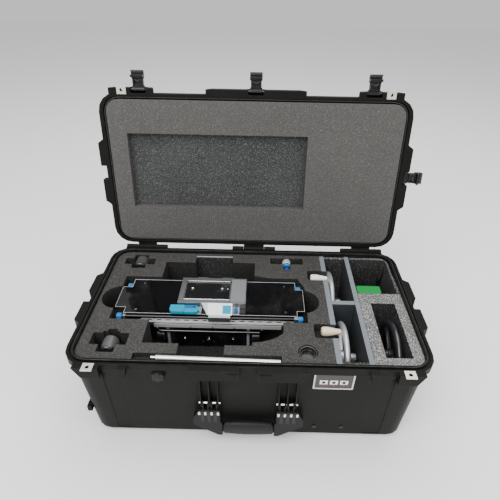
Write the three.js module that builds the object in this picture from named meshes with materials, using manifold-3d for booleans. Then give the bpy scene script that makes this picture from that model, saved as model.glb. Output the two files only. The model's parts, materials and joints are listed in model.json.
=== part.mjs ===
// A long hard transit case, standing open, with the camera slider kit that it carries in cut foam.
// Millimetres: X runs to the right, Y to the back, Z up. The origin is the middle of the underside.
import * as THREE from "three";
import { mergeVertices } from "three/addons/utils/BufferGeometryUtils.js";
import Module from "manifold-3d";

const wasm = await Module();
wasm.setup();

// ---- Driving dimensions ----
const GAP = 0.3; // between pieces that touch
const RIM = 252; // height of the base's sealing face
const LID_OPEN = THREE.MathUtils.degToRad(97.645); // how far the lid stands open
const HINGE = { y: 206, z: 250, barrel: 6.5, pin: 2.5, ear: 30 };
const HINGE_SPANS = { left: [-345, -235], centre: [-58, 58], right: [235, 345] };
const FLANGE = { x: 373, y: 195, corner: 44, height: 17 };
const RIDGE = { x: 362, y: 187.5, corner: 36, height: 2.5 };
const GROOVE = { x: 366.5, y: 191.2, corner: 40, depth: 4 };
const INNER = { x: 356.4, y: 181.9, corner: 29 };
const BASE_OUT = { rim: [364, 189.5], floor: [350, 177], corner: 34, edge: 14, depth: RIM };
const BASE_IN = { rim: [356.4, 181.9], floor: [342.8, 169.8], corner: 27, edge: 10, depth: RIM - 6 };
const LID_OUT = { rim: [364, 189.5], floor: [358, 184], corner: 36, edge: 16, depth: 57 };
const LID_IN = { rim: [356.4, 181.9], floor: [351, 177], corner: 29, edge: 12, depth: 51.5 };
const LID_RIM = RIM + 0.5; // height of the closed lid's sealing face
const FOAM_TOP = 247.5;
const BAY_FLOOR = 130; // floor of the slider's bay
const LATCH = { reach: 42, thick: 6, width: 29, barrel: 5, pin: 2, y: -203, z: 262, side: 379 };
const LATCH_X = { left: -275, centre: 0, right: 275 };
const LATCH_GAP = 18; // half width of the opening that a latch works in
const WHEEL = { rim: 80, width: 14, hub: 17, grip: 10.5 };

const BLACK = { color: 0x2b2b29, roughness: 0.55, metalness: 0 };
const FOAM = { color: 0x4a4a49, roughness: 0.95, metalness: 0 };
const LID_FOAM = { color: 0x6f6d6a, roughness: 0.95, metalness: 0 };
const RUBBER = { color: 0x161616, roughness: 0.8, metalness: 0 };
const STEEL = { color: 0xb9bcc0, roughness: 0.3, metalness: 1 };
const SILVER = { color: 0xc9cbce, roughness: 0.35, metalness: 0.9 };
const GLOSS = { color: 0x0c0d10, roughness: 0.12, metalness: 0 };
const BLUE = { color: 0x009fe3, roughness: 0.4, metalness: 0 };
const WHITE = { color: 0xe9e8e4, roughness: 0.4, metalness: 0 };
const CREAM = { color: 0xe1cda5, roughness: 0.5, metalness: 0 };
const GREEN = { color: 0x3cb45a, roughness: 0.6, metalness: 0 };
const DIVIDER = { color: 0x8d9093, roughness: 0.9, metalness: 0 };

// ---- Solids ----

/** A closed three.js geometry as a manifold solid. */
function toSolid(geometry) {
  const bare = geometry.clone();
  for (const key of Object.keys(bare.attributes)) if (key !== "position") bare.deleteAttribute(key);
  const merged = mergeVertices(bare, 1e-4);
  const index = [];
  for (let i = 0; i < merged.index.count; i += 3) {
    const [a, b, c] = [0, 1, 2].map((k) => merged.index.getX(i + k));
    if (a !== b && b !== c && c !== a) index.push(a, b, c);
  }
  const vertProperties = new Float32Array(merged.attributes.position.array);
  return new wasm.Manifold(new wasm.Mesh({ numProp: 3, vertProperties, triVerts: new Uint32Array(index) }));
}

/** A manifold solid as a three.js geometry. */
function toGeometry(solid) {
  const mesh = solid.getMesh();
  const geometry = new THREE.BufferGeometry();
  geometry.setAttribute("position", new THREE.BufferAttribute(mesh.vertProperties, 3));
  geometry.setIndex(new THREE.BufferAttribute(mesh.triVerts, 1));
  return geometry;
}

const join = (first, ...rest) => rest.flat().reduce((all, solid) => all.add(solid), first);
const cut = (first, ...rest) => rest.flat().reduce((left, solid) => left.subtract(solid), first);

/** A box between two values on each axis. */
function block([x0, x1], [y0, y1], [z0, z1]) {
  const geometry = new THREE.BoxGeometry(x1 - x0, y1 - y0, z1 - z0);
  return toSolid(geometry.translate((x0 + x1) / 2, (y0 + y1) / 2, (z0 + z1) / 2));
}

/** A rod along an axis, from one value to another; centre gives the other two coordinates in order. */
function rod(axis, [from, to], [a, b], radius, sides = 14, endRadius = radius) {
  const geometry = new THREE.CylinderGeometry(endRadius, radius, to - from, sides);
  geometry.translate(0, (from + to) / 2, 0);
  if (axis === "x") geometry.rotateZ(-Math.PI / 2).translate(0, a, b);
  if (axis === "y") geometry.translate(a, 0, b);
  if (axis === "z") geometry.rotateX(Math.PI / 2).translate(a, b, 0);
  return toSolid(geometry);
}

const SHAPE_AXES = {
  z: new THREE.Matrix4(),
  x: new THREE.Matrix4().makeBasis(
    new THREE.Vector3(0, 1, 0), new THREE.Vector3(0, 0, 1), new THREE.Vector3(1, 0, 0)),
  y: new THREE.Matrix4().makeBasis(
    new THREE.Vector3(1, 0, 0), new THREE.Vector3(0, 0, 1), new THREE.Vector3(0, -1, 0)),
};

/** A flat outline drawn out along an axis: XY outlines along z, YZ along x, XZ along y. */
function prism(shape, axis, [from, to], curveSegments = 2) {
  const geometry = new THREE.ExtrudeGeometry(shape, { depth: to - from, bevelEnabled: false, curveSegments });
  geometry.applyMatrix4(SHAPE_AXES[axis]);
  const start = { x: [from, 0, 0], y: [0, to, 0], z: [0, 0, from] }[axis];
  return toSolid(geometry.translate(...start));
}

/** A closed outline through points. */
const outline = (points) => new THREE.Shape(points.map(([u, v]) => new THREE.Vector2(u, v)));

/** A rectangle with round corners, about a centre. */
function rounded(halfX, halfY, radius, [cx, cy] = [0, 0]) {
  const shape = new THREE.Shape();
  const corners = [[1, 1], [-1, 1], [-1, -1], [1, -1]];
  corners.forEach(([sx, sy], quarter) => {
    const start = (quarter * Math.PI) / 2;
    shape.absarc(cx + sx * (halfX - radius), cy + sy * (halfY - radius), radius, start, start + Math.PI / 2);
  });
  return shape;
}

/** A tray's outer form: open end at z = 0, closed rounded end at z = depth, narrowing towards it. */
function trayForm({ rim, floor, corner, edge, depth }) {
  const geometry = new THREE.ExtrudeGeometry(rounded(floor[0], floor[1], corner), {
    depth, bevelThickness: edge, bevelSize: edge, bevelOffset: -edge, bevelSegments: 2, curveSegments: 2,
  });
  geometry.translate(0, 0, -edge);
  const position = geometry.attributes.position;
  for (let i = 0; i < position.count; i++) {
    const towardsRim = (depth - position.getZ(i)) / depth;
    position.setX(i, position.getX(i) * (1 + (rim[0] / floor[0] - 1) * towardsRim));
    position.setY(i, position.getY(i) * (1 + (rim[1] / floor[1] - 1) * towardsRim));
  }
  return cut(toSolid(geometry), block([-500, 500], [-500, 500], [-50, 0]));
}

/** A tray form with its open end up, at the base's rim. */
const baseTray = (sizes) => trayForm(sizes).rotate([180, 0, 0]).translate([0, 0, RIM]);
/** A tray form with its open end down, at the closed lid's rim. */
const lidTray = (sizes) => trayForm(sizes).translate([0, 0, LID_RIM]);
/** The same tray form, a little smaller all round. */
const shrunk = (sizes, by) => ({
  ...sizes, rim: sizes.rim.map((v) => v - by), floor: sizes.floor.map((v) => v - by), depth: sizes.depth - by,
});

// ---- Scene graph ----
const object = new THREE.Group();
const lid = new THREE.Group();
const lidParts = new THREE.Group();
lid.position.set(0, HINGE.y, HINGE.z);
lid.rotation.x = -LID_OPEN;
lidParts.position.set(0, -HINGE.y, -HINGE.z);
lid.add(lidParts);
object.add(lid);

/** One named piece, with its own material. */
function piece(name, solid, finish, parent = object) {
  const mesh = new THREE.Mesh(toGeometry(solid), new THREE.MeshStandardMaterial(finish));
  mesh.name = name;
  parent.add(mesh);
}

const BOTH = [-1, 1];
const span = (side, a, b) => (side > 0 ? [a, b] : [-b, -a]);
/** How far the base's front wall stands forward at a height. */
const wallY = (z) => -(BASE_OUT.floor[1] + ((BASE_OUT.rim[1] - BASE_OUT.floor[1]) * z) / RIM);
const wallX = (z) => BASE_OUT.floor[0] + ((BASE_OUT.rim[0] - BASE_OUT.floor[0]) * z) / RIM;

// ---- Flange pieces that the base and the lid share ----

/** The blocks on the flange that guard the latches, between two heights. */
function latchGuards([z0, z1], frontSlope) {
  const guards = [];
  for (const side of BOTH) {
    const front = (points) => prism(outline(points.map(([x, z]) => [side * x, z])), "y", [-207, -186]);
    const [low, high] = frontSlope > 0 ? [z0, z1] : [z1, z0];
    guards.push(front([[LATCH_GAP, high], [118, high], [105, low], [LATCH_GAP, low]]));
    guards.push(front([[275 + LATCH_GAP, high], [345, high], [331, low], [275 + LATCH_GAP, low]]));
    guards.push(front([[275 - LATCH_GAP, high], [238, high], [244, low], [275 - LATCH_GAP, low]]));
    for (const back of BOTH) {
      const plan = [[370, LATCH_GAP], [386, LATCH_GAP], [386, 76], [370, 88]];
      guards.push(prism(outline(plan.map(([x, y]) => [side * x, back * y])), "z", [z0, z1]));
    }
  }
  return guards;
}

/** Hinge barrels on the shared axis, with the web that ties each to its flange. */
function hingeEars(spans, [z0, z1]) {
  return spans.flatMap(([a, b]) => [
    rod("x", [a, b], [HINGE.y, HINGE.z], HINGE.barrel, 12),
    block([a, b], [186, HINGE.y], [z0, z1]),
  ]);
}

const HASP = { x: 314, half: 11, y0: -211, y1: -192.5, hole: 4, thick: 2.2 };

// ---- Case base ----

function baseShell() {
  const flange = prism(rounded(FLANGE.x, FLANGE.y, FLANGE.corner), "z", [RIM - FLANGE.height, RIM]);
  const ridge = prism(rounded(RIDGE.x, RIDGE.y, RIDGE.corner), "z", [RIM - 1, RIM + RIDGE.height]);
  const groove = cut(
    prism(rounded(GROOVE.x, GROOVE.y, GROOVE.corner), "z", [RIM - GROOVE.depth, RIM + 1]),
    prism(rounded(RIDGE.x, RIDGE.y, RIDGE.corner), "z", [RIM - GROOVE.depth - 1, RIM + 2]),
  );
  const ears = Object.values(HINGE_SPANS).flatMap(([a, b]) => [[a, a + HINGE.ear], [b - HINGE.ear, b]]);
  const backPlate = block([-345, 345], [186, 199], [RIM - 12, RIM]);
  let shell = join(baseTray(BASE_OUT), flange, latchGuards([RIM - 28, RIM], 1), backPlate);
  shell = join(shell, hingeEars(ears, [RIM - 12, RIM - 2]));
  shell = cut(join(cut(shell, groove), ridge), baseTray(BASE_IN));
  shell = cut(shell, prism(rounded(INNER.x, INNER.y, INNER.corner), "z", [RIM - 3, RIM + 5]));
  shell = cut(shell, rod("x", [-360, 360], [HINGE.y, HINGE.z], HINGE.pin + GAP, 12));
  for (const side of BOTH) {
    const x = side * HASP.x;
    const seat = block([x - HASP.half - GAP, x + HASP.half + GAP],
      [HASP.y0 - 5, HASP.y1 + GAP], [RIM - HASP.thick - 0.8, RIM + 3]);
    shell = cut(shell, seat, rod("z", [RIM - 40, RIM + 3], [x, -202], HASP.hole, 12));
    shell = join(shell, block(span(side, 21, 45), [-208.5, -206], [228, 245]));
    shell = cut(join(shell, handleRibs(side)), latchChannel(side));
    shell = join(shell, sideHandleEars(side));
  }
  shell = join(shell, rod("y", [-191.5, -184], [VALVE.x, VALVE.z], VALVE.seat, 18));
  for (const back of BOTH) shell = join(shell, cornerBoss(back));
  return cut(shell, handlePinHoles());
}

/** The shallow channel down the front wall under an outer latch, with its two deeper catches. */
function latchChannel(side) {
  const shallow = [[wallY(14) + 1.4, 14], [-200, 14], [-200, 224], [wallY(224) + 1.4, 224]];
  const deep = [[wallY(190) + 1, 190], [-200, 190], [-200, 218], [wallY(218) + 5, 218]];
  return [
    prism(outline(shallow), "x", span(side, 258, 297)),
    prism(outline(deep), "x", span(side, 258, 266)),
    prism(outline(deep), "x", span(side, 289, 297)),
  ];
}

const VALVE = { x: -181, z: 219, seat: 14.5, knob: 13 };
const cornerBoss = (back) => block([-359, -349], back < 0 ? [-173, -150] : [150, 173], [66, 82]);

// The front handle turns on a pin through three wall ribs at each end.
const HANDLE = { y: -193, z: 136, pin: 2.5, ribs: [62, 80, 98], rib: 2.5, top: 120, grip: 53 };

function handleRibs(side) {
  const profile = outline([[-184, 222], [-196, 222], [-199.5, 144], [-199.5, 130], [-180, 127]]);
  return HANDLE.ribs.map((x) => prism(profile, "x", span(side, x, x + HANDLE.rib)));
}

function handlePinHoles() {
  return BOTH.map((side) => rod("x", span(side, 58, 105), [HANDLE.y, HANDLE.z], HANDLE.pin + GAP, 12));
}

const SIDE_HANDLE = { x: 368, z: 150, half: 61.5, pin: 3 };

function sideHandleEars(side) {
  return BOTH.map((back) => cut(
    join(block(span(side, 352, SIDE_HANDLE.x), span(back, 62, 68), [143, 157]),
      rod("y", span(back, 62, 68), [side * SIDE_HANDLE.x, SIDE_HANDLE.z], 7, 12)),
    rod("y", span(back, 60, 70), [side * SIDE_HANDLE.x, SIDE_HANDLE.z], SIDE_HANDLE.pin + GAP, 12),
  ));
}

piece("base_shell", baseShell(), BLACK);

for (const [name, [a, b]] of Object.entries(HINGE_SPANS)) {
  piece(`hinge_pin_${name}`, rod("x", [a + 1, b - 1], [HINGE.y, HINGE.z], HINGE.pin, 12), STEEL);
}

/** A steel plate around a padlock hole, seated in a flange. */
function haspPlate(side, z) {
  const x = side * HASP.x;
  return cut(block([x - HASP.half, x + HASP.half], [HASP.y0, HASP.y1], [z, z + HASP.thick]),
    rod("z", [z - 1, z + 4], [x, -202], HASP.hole, 12));
}

const SIDE_NAMES = { [-1]: "left", 1: "right" };
for (const side of BOTH) {
  piece(`hasp_plate_base_${SIDE_NAMES[side]}`, haspPlate(side, RIM - HASP.thick - GAP), STEEL);
  piece(`hasp_plate_lid_${SIDE_NAMES[side]}`, haspPlate(side, LID_RIM + GAP), STEEL, lidParts);
}

function valveKnob() {
  const notches = [0, 1, 2, 3, 4, 5].map((k) => {
    const a = (k * Math.PI) / 3;
    return rod("y", [-200, -195], [VALVE.x + 12.5 * Math.cos(a), VALVE.z + 12.5 * Math.sin(a)], 2.5, 8);
  });
  return cut(rod("y", [-198.5, -191.8], [VALVE.x, VALVE.z], VALVE.knob, 18), notches);
}

piece("valve_knob", valveKnob(), RUBBER);

function labelPlate() {
  const z0 = 184;
  const z1 = 231;
  const face = (z, out) => wallY(z) - out;
  const shape = outline([[face(z0, GAP), z0], [face(z0, 1.7), z0], [face(z1, 1.7), z1], [face(z1, GAP), z1]]);
  return prism(shape, "x", [131, 213]);
}

piece("label_plate", labelPlate(), SILVER);

// ---- Front handle ----

function frontHandle() {
  const half = [[60, HANDLE.top], [104, HANDLE.top], [118, 92], [118, 70], [66, 33]];
  const inner = [[-60, HANDLE.top], [-60, 77], [60, 77]];
  const mirrored = half.map(([x, z]) => [-x, z]).reverse();
  let frame = prism(outline([...half, ...mirrored, ...inner]), "y", [-202, -187]);
  const barRoom = [[-56.5, 56.5], [-210, -180]];
  const [low, high] = [HANDLE.grip - 11, HANDLE.grip + 11];
  frame = cut(frame, block(...barRoom, [0, low]), block(...barRoom, [high, 90]));
  frame = cut(frame, block([-56.5, 56.5], [-210, -199], [0, 90]), block([-56.5, 56.5], [-190, -180], [0, 90]));
  for (const side of BOTH) {
    for (const x of [64.9, 76, 82.9, 94]) {
      const hook = span(side, x, x + 3.4);
      frame = join(frame, block(hook, [-199, -187], [HANDLE.top - 4, HANDLE.z]),
        rod("x", hook, [HANDLE.y, HANDLE.z], 6, 10));
    }
  }
  return cut(frame, handlePinHoles());
}

function frontGrip() {
  const section = rounded(10.5, 20, 7, [-194.5, HANDLE.grip]);
  return cut(prism(section, "x", [-56, 56]), block([-60, 60], [-199.3, -189.7], [HANDLE.grip - 11.3, HANDLE.grip + 11.3]));
}

piece("front_handle", frontHandle(), BLACK);
piece("front_grip", frontGrip(), RUBBER);
for (const side of BOTH) {
  const pin = rod("x", span(side, 59, 104), [HANDLE.y, HANDLE.z], HANDLE.pin, 12);
  piece(`handle_pin_${SIDE_NAMES[side]}`, pin, STEEL);
}

// ---- Side handles, folded down against the ends ----

function sideHandle(side) {
  const { x, z, half, pin } = SIDE_HANDLE;
  const thick = span(side, x - 7, x + 7);
  const arms = BOTH.flatMap((back) => [
    rod("y", span(back, 48, half), [side * x, z], 7, 12),
    block(thick, span(back, 48, half), [100, z]),
    rod("y", span(back, half - 1, 67.5), [side * x, z], pin, 10),
  ]);
  const bar = prism(rounded(8, 10, 5, [side * x, 102]), "y", [-half, half], 4);
  return join(bar, arms);
}

for (const side of BOTH) piece(`side_handle_${SIDE_NAMES[side]}`, sideHandle(side), BLACK);

// ---- Foam and dividers in the base ----
const FOAM_TRAY = shrunk(BASE_IN, 0.4);
const WALLS_X = { left: [175.3, 187], right: [241, 252] }; // the two long dividers
const CROSS_Y = [-3, 9];
const WHEELS = { rear: { x: 196, y: 91, z: 167 }, front: { x: 205, y: -90, z: 167 } };
const BLACK_WHEEL = { x: 318, y: -77.5, z: 162 };

/** The part of the base's foam between two X values and two heights. */
function foamSlab([x0, x1], [z0, z1]) {
  return baseTray(FOAM_TRAY).intersect(block([x0, x1], [-300, 300], [z0, z1]));
}

/** Room for a handwheel's grip, cut down from the top. */
function gripNotches() {
  return [[82, 119], [-109, -68]].map(([y0, y1]) =>
    prism(rounded((190 - 138) / 2, (y1 - y0) / 2, 5, [164, (y0 + y1) / 2]), "z", [224, 260], 3));
}

/** The outline of the slider's bay, seen from above. */
function bayShape() {
  const shape = outline([
    [-313, -66], [-225, -66], [-225, -133], [-148, -133], [-148, -168], [-52, -168], [-52, -135], [5, -135]]);
  shape.lineTo(5, -126);
  shape.quadraticCurveTo(50, -122, 72, -97);
  shape.lineTo(72, -66);
  for (const [x, y] of [[127, -66], [127, 52], [111, 85], [40, 85], [5, 93], [5, 145], [-53, 145],
    [-53, 170], [-150, 170], [-150, 142], [-225, 142], [-225, 81], [-313, 81]]) shape.lineTo(x, y);
  return shape;
}

const up = (from) => [from, RIM + 10];
const KNOB = { x: -295, z: 230, body: 16.5, cap: 17.5 };
const ROD = { x: -68, y: -168.75, z: 241, radius: 5.5, half: 132, lean: -1.2 };
const RING = { x: 120, y: -149, radius: 20, bore: 15 };
const LENS_KNOB = { x: 87.5, z: 238, body: 10.5, tip: 7.5 };

function mainFoam() {
  const slab = foamSlab([-400, 175], [0, FOAM_TOP]);
  const pockets = [
    prism(bayShape(), "z", up(BAY_FLOOR), 8),
    rod("z", up(180), [-312, 5], 38, 24),
    rod("z", up(180), [120, 3], 38, 24),
    block([-333, -256], [131, 155], up(190)),
    block([-313, -277], [115, 170], up(KNOB.z - 18)),
    block([-333, -256], [-140, -108], up(190)),
    block([-313, -277], [-160, -103], up(KNOB.z - 18)),
    block([-304, -284], [-104, -97], up(KNOB.z - 18)),
    block([-236, 66], [-177.5, -160], up(ROD.z - ROD.radius - GAP)),
    block([45, 130], [144, 168], up(LENS_KNOB.z - LENS_KNOB.body - GAP)),
    block([79, 96], [122, 145], up(LENS_KNOB.z - LENS_KNOB.body - GAP)),
    rod("z", up(225), [RING.x, RING.y], RING.radius + 0.5, 20),
  ];
  return cut(slab, pockets, gripNotches());
}

piece("main_foam", mainFoam(), FOAM);

const [aLeft, aRight] = WALLS_X.left;
const [bLeft, bRight] = WALLS_X.right;
piece("divider_left", cut(foamSlab([aLeft, aRight], [0, FOAM_TOP]), gripNotches()), DIVIDER);
piece("divider_right", foamSlab([bLeft, bRight], [60 + GAP, FOAM_TOP]), DIVIDER);
piece("divider_cross", block([aRight + GAP, bLeft - GAP], CROSS_Y, [87, FOAM_TOP - 0.5]), DIVIDER);

/** Foam lining of the two right-hand bays: floors, and the walls that no insert covers. */
function bayLiner() {
  const lining = foamSlab([aRight + GAP, 400], [0, FOAM_TOP]);
  return cut(lining,
    block([aRight - 1, bLeft], [-171, 171.8], up(87 - GAP)),
    block([bLeft - GAP, bRight + GAP], [-300, 300], up(60)),
    block([bRight, 400], [-300, 36 + GAP], up(60)),
    prism(rounded(48, 67.5, 10, [300, 104]), "z", up(60)),
  );
}

piece("bay_liner", bayLiner(), FOAM);

function insertFoam() {
  const slab = foamSlab([bRight + 2 * GAP, 400], [60 + GAP, FOAM_TOP]);
  const front = cut(slab, block([200, 400], [36, 300], up(0)));
  return cut(front, block([278, 333], [-158, 3], up(BLACK_WHEEL.z - WHEEL.rim - GAP)));
}

piece("insert_foam", insertFoam(), FOAM);

// ---- Lid ----
const LATCH_NAMES = Object.keys(LATCH_X);

function lidShell() {
  const flange = prism(rounded(FLANGE.x, FLANGE.y, FLANGE.corner), "z", [LID_RIM, LID_RIM + FLANGE.height]);
  const barrels = Object.values(HINGE_SPANS).map(([a, b]) => [a + HINGE.ear + 0.6, b - HINGE.ear - 0.6]);
  let shell = join(lidTray(LID_OUT), flange, latchGuards([LID_RIM, LID_RIM + 18], -1));
  shell = join(shell, hingeEars(barrels, [LID_RIM + 0.4, LID_RIM + 10]));
  shell = cut(shell, lidTray(LID_IN), rod("x", [-360, 360], [HINGE.y, HINGE.z], HINGE.pin + GAP, 12));
  const rebate = prism(rounded(RIDGE.x + 0.6, RIDGE.y + 0.6, RIDGE.corner), "z", [LID_RIM - 1, LID_RIM + 7.5]);
  shell = cut(shell, rebate);
  for (const side of BOTH) {
    const x = side * HASP.x;
    shell = cut(shell, block([x - HASP.half - GAP, x + HASP.half + GAP],
      [HASP.y0 - 5, HASP.y1 + GAP], [LID_RIM - 1, LID_RIM + HASP.thick + 2 * GAP]),
    rod("z", [LID_RIM - 1, LID_RIM + 30], [x, -202], HASP.hole, 12));
  }
  for (const name of LATCH_NAMES) {
    const x = LATCH_X[name];
    shell = cut(shell, rod("x", [x - 24.3, x + 24.3], [LATCH.y, LATCH.z], LATCH.pin + GAP, 10));
  }
  return cut(shell, rod("y", [-24.3, 24.3], [LATCH.side, LATCH.z], LATCH.pin + GAP, 10));
}

piece("lid_shell", lidShell(), BLACK, lidParts);

function lidFoam() {
  const slab = lidTray(shrunk(LID_IN, 0.4));
  return cut(slab, block([-312, 127], [-101, 90], [LID_RIM - 1, LID_RIM + 19]));
}

piece("lid_foam", lidFoam(), LID_FOAM, lidParts);

function gasket() {
  const ring = (inset) => rounded(RIDGE.x + 0.3 - inset, RIDGE.y + 0.3 - inset, RIDGE.corner - inset);
  return cut(prism(ring(0), "z", [LID_RIM + 2.7, LID_RIM + 7.2]), prism(ring(4.6), "z", [LID_RIM, LID_RIM + 9]));
}

piece("lid_gasket", gasket(), RUBBER, lidParts);

// ---- Latches, standing straight out from the lid ----

/** A latch about its pivot, reaching along -Y, with its hook underneath. */
function latchBody() {
  const half = LATCH.width / 2;
  const lever = outline([
    [0, 6], [-LATCH.reach + 4, 6], [-LATCH.reach, 3], [-LATCH.reach - 1, -4], [-LATCH.reach + 2, -4],
    [-LATCH.reach + 3, -1], [-33, -1], [-33, -12], [-27.8, -12], [-27.8, -1], [0, -1]]);
  const body = join(prism(lever, "x", [-half, half]), rod("x", [-half, half], [0, 1], LATCH.barrel, 10));
  const waist = BOTH.map((side) => block(span(side, half - 2, half + 1), [-24, -8], [-3, 8]));
  return cut(body, rod("x", [-half - 1, half + 1], [0, 0], LATCH.pin + GAP, 10), waist);
}

for (const name of LATCH_NAMES) {
  const at = [LATCH_X[name], LATCH.y, LATCH.z];
  piece(`latch_${name}`, latchBody().translate(at), BLACK, lidParts);
  const pin = rod("x", [at[0] - 24, at[0] + 24], [LATCH.y, LATCH.z], LATCH.pin, 10);
  piece(`latch_pin_${name}`, pin, STEEL, lidParts);
}
const sideLatch = latchBody().rotate([0, 0, 90]).translate([LATCH.side, 0, LATCH.z]);
piece("latch_side", sideLatch, BLACK, lidParts);
piece("latch_pin_side", rod("y", [-24, 24], [LATCH.side, LATCH.z], LATCH.pin, 10), STEEL, lidParts);

// ---- Handwheels ----

/** A solid turned about the X axis from a closed profile of [axial, radial] points. */
function turnedX(profile, segments = 28) {
  const points = [...profile, profile[0]].map(([axial, radial]) => new THREE.Vector2(radial, axial));
  return toSolid(new THREE.LatheGeometry(points, segments).rotateZ(-Math.PI / 2));
}

/** A handwheel about its centre; the hub runs out along +X when out is 1. */
function handwheel(out) {
  const half = WHEEL.width / 2;
  const outer = WHEEL.rim;
  const inner = WHEEL.rim - 17;
  const rimProfile = [
    [-half, inner + 4], [-half, outer - 4], [-half + 3, outer], [half - 3, outer],
    [half, outer - 4], [half, inner + 4], [half - 3, inner], [-half + 3, inner]];
  const hub = [
    rod("x", [-half, half], [0, 0], WHEEL.hub),
    rod("x", span(out, half - 1, half + 14), [0, 0], out > 0 ? 15 : 10, 14, out > 0 ? 10 : 15),
    rod("x", span(out, half + 13, half + 27), [0, 0], 9, 12),
  ];
  const spokes = [0, 1, 2].map((k) =>
    block([-4, 4], [-6, 6], [10, inner + 3]).rotate([60 + 120 * k, 0, 0]));
  return join(turnedX(rimProfile), hub, spokes);
}

const CRANK = { y: 10, z: 70 }; // where the grip's spindle stands on the rim

for (const [name, at] of Object.entries(WHEELS)) {
  const face = at.x - WHEEL.width / 2;
  const [y, z] = [at.y + CRANK.y, at.z + CRANK.z];
  const spindle = rod("x", [face - 43, face + 2], [y, z], 2.5, 10);
  const wheel = handwheel(1).translate([at.x, at.y, at.z]);
  piece(`handwheel_${name}`, join(wheel, spindle), SILVER);
  const gripProfile = [
    [-42, 2.8], [-42, 8.5], [-38, WHEEL.grip], [-30, WHEEL.grip], [-22, 9.6], [-8, 6.2], [0, 6], [0, 2.8]];
  const grip = turnedX(gripProfile, 14).translate([face - 0.8, y, z]);
  piece(`wheel_grip_${name}`, grip, name === "rear" ? WHITE : CREAM);
}
piece("handwheel_black", handwheel(-1).translate(Object.values(BLACK_WHEEL)), GLOSS);

// ---- Loose pieces in their own pockets ----

/** A clamp knob lying along Y: dark cap and chrome stub at the front end. */
function clampKnob(capFront) {
  return join(
    rod("y", [capFront + 7, capFront + 37.5], [KNOB.x, KNOB.z], KNOB.body, 18),
    rod("y", [capFront, capFront + 8], [KNOB.x, KNOB.z], KNOB.cap, 18),
    rod("y", [capFront - 9, capFront + 1], [KNOB.x, KNOB.z], 3.5, 10),
  );
}

piece("clamp_knob_rear", clampKnob(131.5), BLACK);
piece("clamp_knob_front", clampKnob(-150), BLACK);
piece("lens_knob", join(
  rod("y", [148, 166], [LENS_KNOB.x, LENS_KNOB.z], LENS_KNOB.body, 18),
  rod("y", [126, 149], [LENS_KNOB.x, LENS_KNOB.z], LENS_KNOB.tip, 14)), SILVER);
const supportRod = rod("x", [-ROD.half, ROD.half], [0, 0], ROD.radius, 14).rotate([0, 0, ROD.lean]);
piece("support_rod", supportRod.translate([ROD.x, ROD.y, ROD.z]), STEEL);
piece("adapter_ring", cut(
  rod("z", [225 + GAP, 246], [RING.x, RING.y], RING.radius, 20),
  rod("z", [233, 250], [RING.x, RING.y], RING.bore, 20)), RUBBER);
piece("green_case", prism(rounded(29, 14.2, 6, [283, 51.5]), "z", [60 + GAP, 247]), GREEN);

// ---- Slider ----
const DECK = { x: [-311, 122], y: [-46, 70], top: 246.3, thick: 3 };
const FRAME = { x: [-289, 99], y: [-42, 66], z: [204, 243] };
const RAIL = { y: -48, z: 238.5, radius: 4, x: [-288.5, 104] };

function deckPlate() {
  const plan = [
    [-287, -46], [104.5, -46], [104.5, -30], [122, -30], [122, 44], [104.5, 44], [104.5, 70],
    [-289, 70], [-289, 42], [-311, 42], [-311, -28], [-287, -28]];
  return prism(outline(plan), "z", [DECK.top - DECK.thick, DECK.top]);
}

function deckFrame() {
  const body = cut(block(FRAME.x, FRAME.y, FRAME.z), block([-283, 93], [-36, 60], [190, 237]));
  const lip = block([-222, 70], [-46.5, -41], [204, 215]);
  const brackets = [[-288, -282], [97.5, 103.5]].map((x) => block(x, [-53, -41], [232.8, 242.9]));
  const railHole = rod("x", [-300, 120], [RAIL.y, RAIL.z], RAIL.radius + GAP, 12);
  return cut(join(body, lip, brackets), railHole);
}

function slottedRack() {
  const strip = block([-250, 100], [-45.2, FRAME.y[0] - GAP], [217, 231.5]);
  const slots = Array.from({ length: 16 }, (_, k) => block([-236 + 21 * k, -225 + 21 * k], [-50, -40], [222, 227]));
  return cut(strip, slots);
}

/** The carry bar under the rail: a tube with both ends turned up. */
function carryBar() {
  const [left, right, low, high, bend] = [-216, 26, 190, FRAME.z[0] - GAP, 9];
  const path = new THREE.CurvePath();
  const at = (x, z) => new THREE.Vector3(x, -44, z);
  path.add(new THREE.LineCurve3(at(left, high), at(left, low + bend)));
  path.add(new THREE.QuadraticBezierCurve3(at(left, low + bend), at(left, low), at(left + bend, low)));
  path.add(new THREE.LineCurve3(at(left + bend, low), at(right - bend, low)));
  path.add(new THREE.QuadraticBezierCurve3(at(right - bend, low), at(right, low), at(right, low + bend)));
  path.add(new THREE.LineCurve3(at(right, low + bend), at(right, high)));
  const section = new THREE.Shape().absarc(0, 0, 3.5, 0, 2 * Math.PI);
  const options = { steps: 26, extrudePath: path, curveSegments: 4, bevelEnabled: false };
  return toSolid(new THREE.ExtrudeGeometry(section, options));
}

piece("deck_plate", deckPlate(), GLOSS);
piece("deck_frame", deckFrame(), SILVER);
piece("slotted_rack", slottedRack(), SILVER);
piece("front_rail", rod("x", RAIL.x, [RAIL.y, RAIL.z], RAIL.radius, 12), STEEL);
piece("carry_bar", carryBar(), STEEL);
piece("drive_box", block([-188, -13], [-36, 30], [BAY_FLOOR + GAP, FRAME.z[0] - GAP]), BLACK);
for (const [name, x] of [["left", -195], ["right", -6]]) {
  const post = rod("z", [BAY_FLOOR + GAP, FRAME.z[0] - GAP], [x, -32], 4, 10);
  piece(`support_post_${name}`, post, STEEL);
}

const RAIL_KNOBS = {
  front_left: { x: [-303, -289.3], y: RAIL.y },
  front_right: { x: [104.5, 118], y: RAIL.y },
  rear_left: { x: [-303, -289.3], y: 54 },
  rear_right: { x: [105, 118], y: 54 },
};

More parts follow.
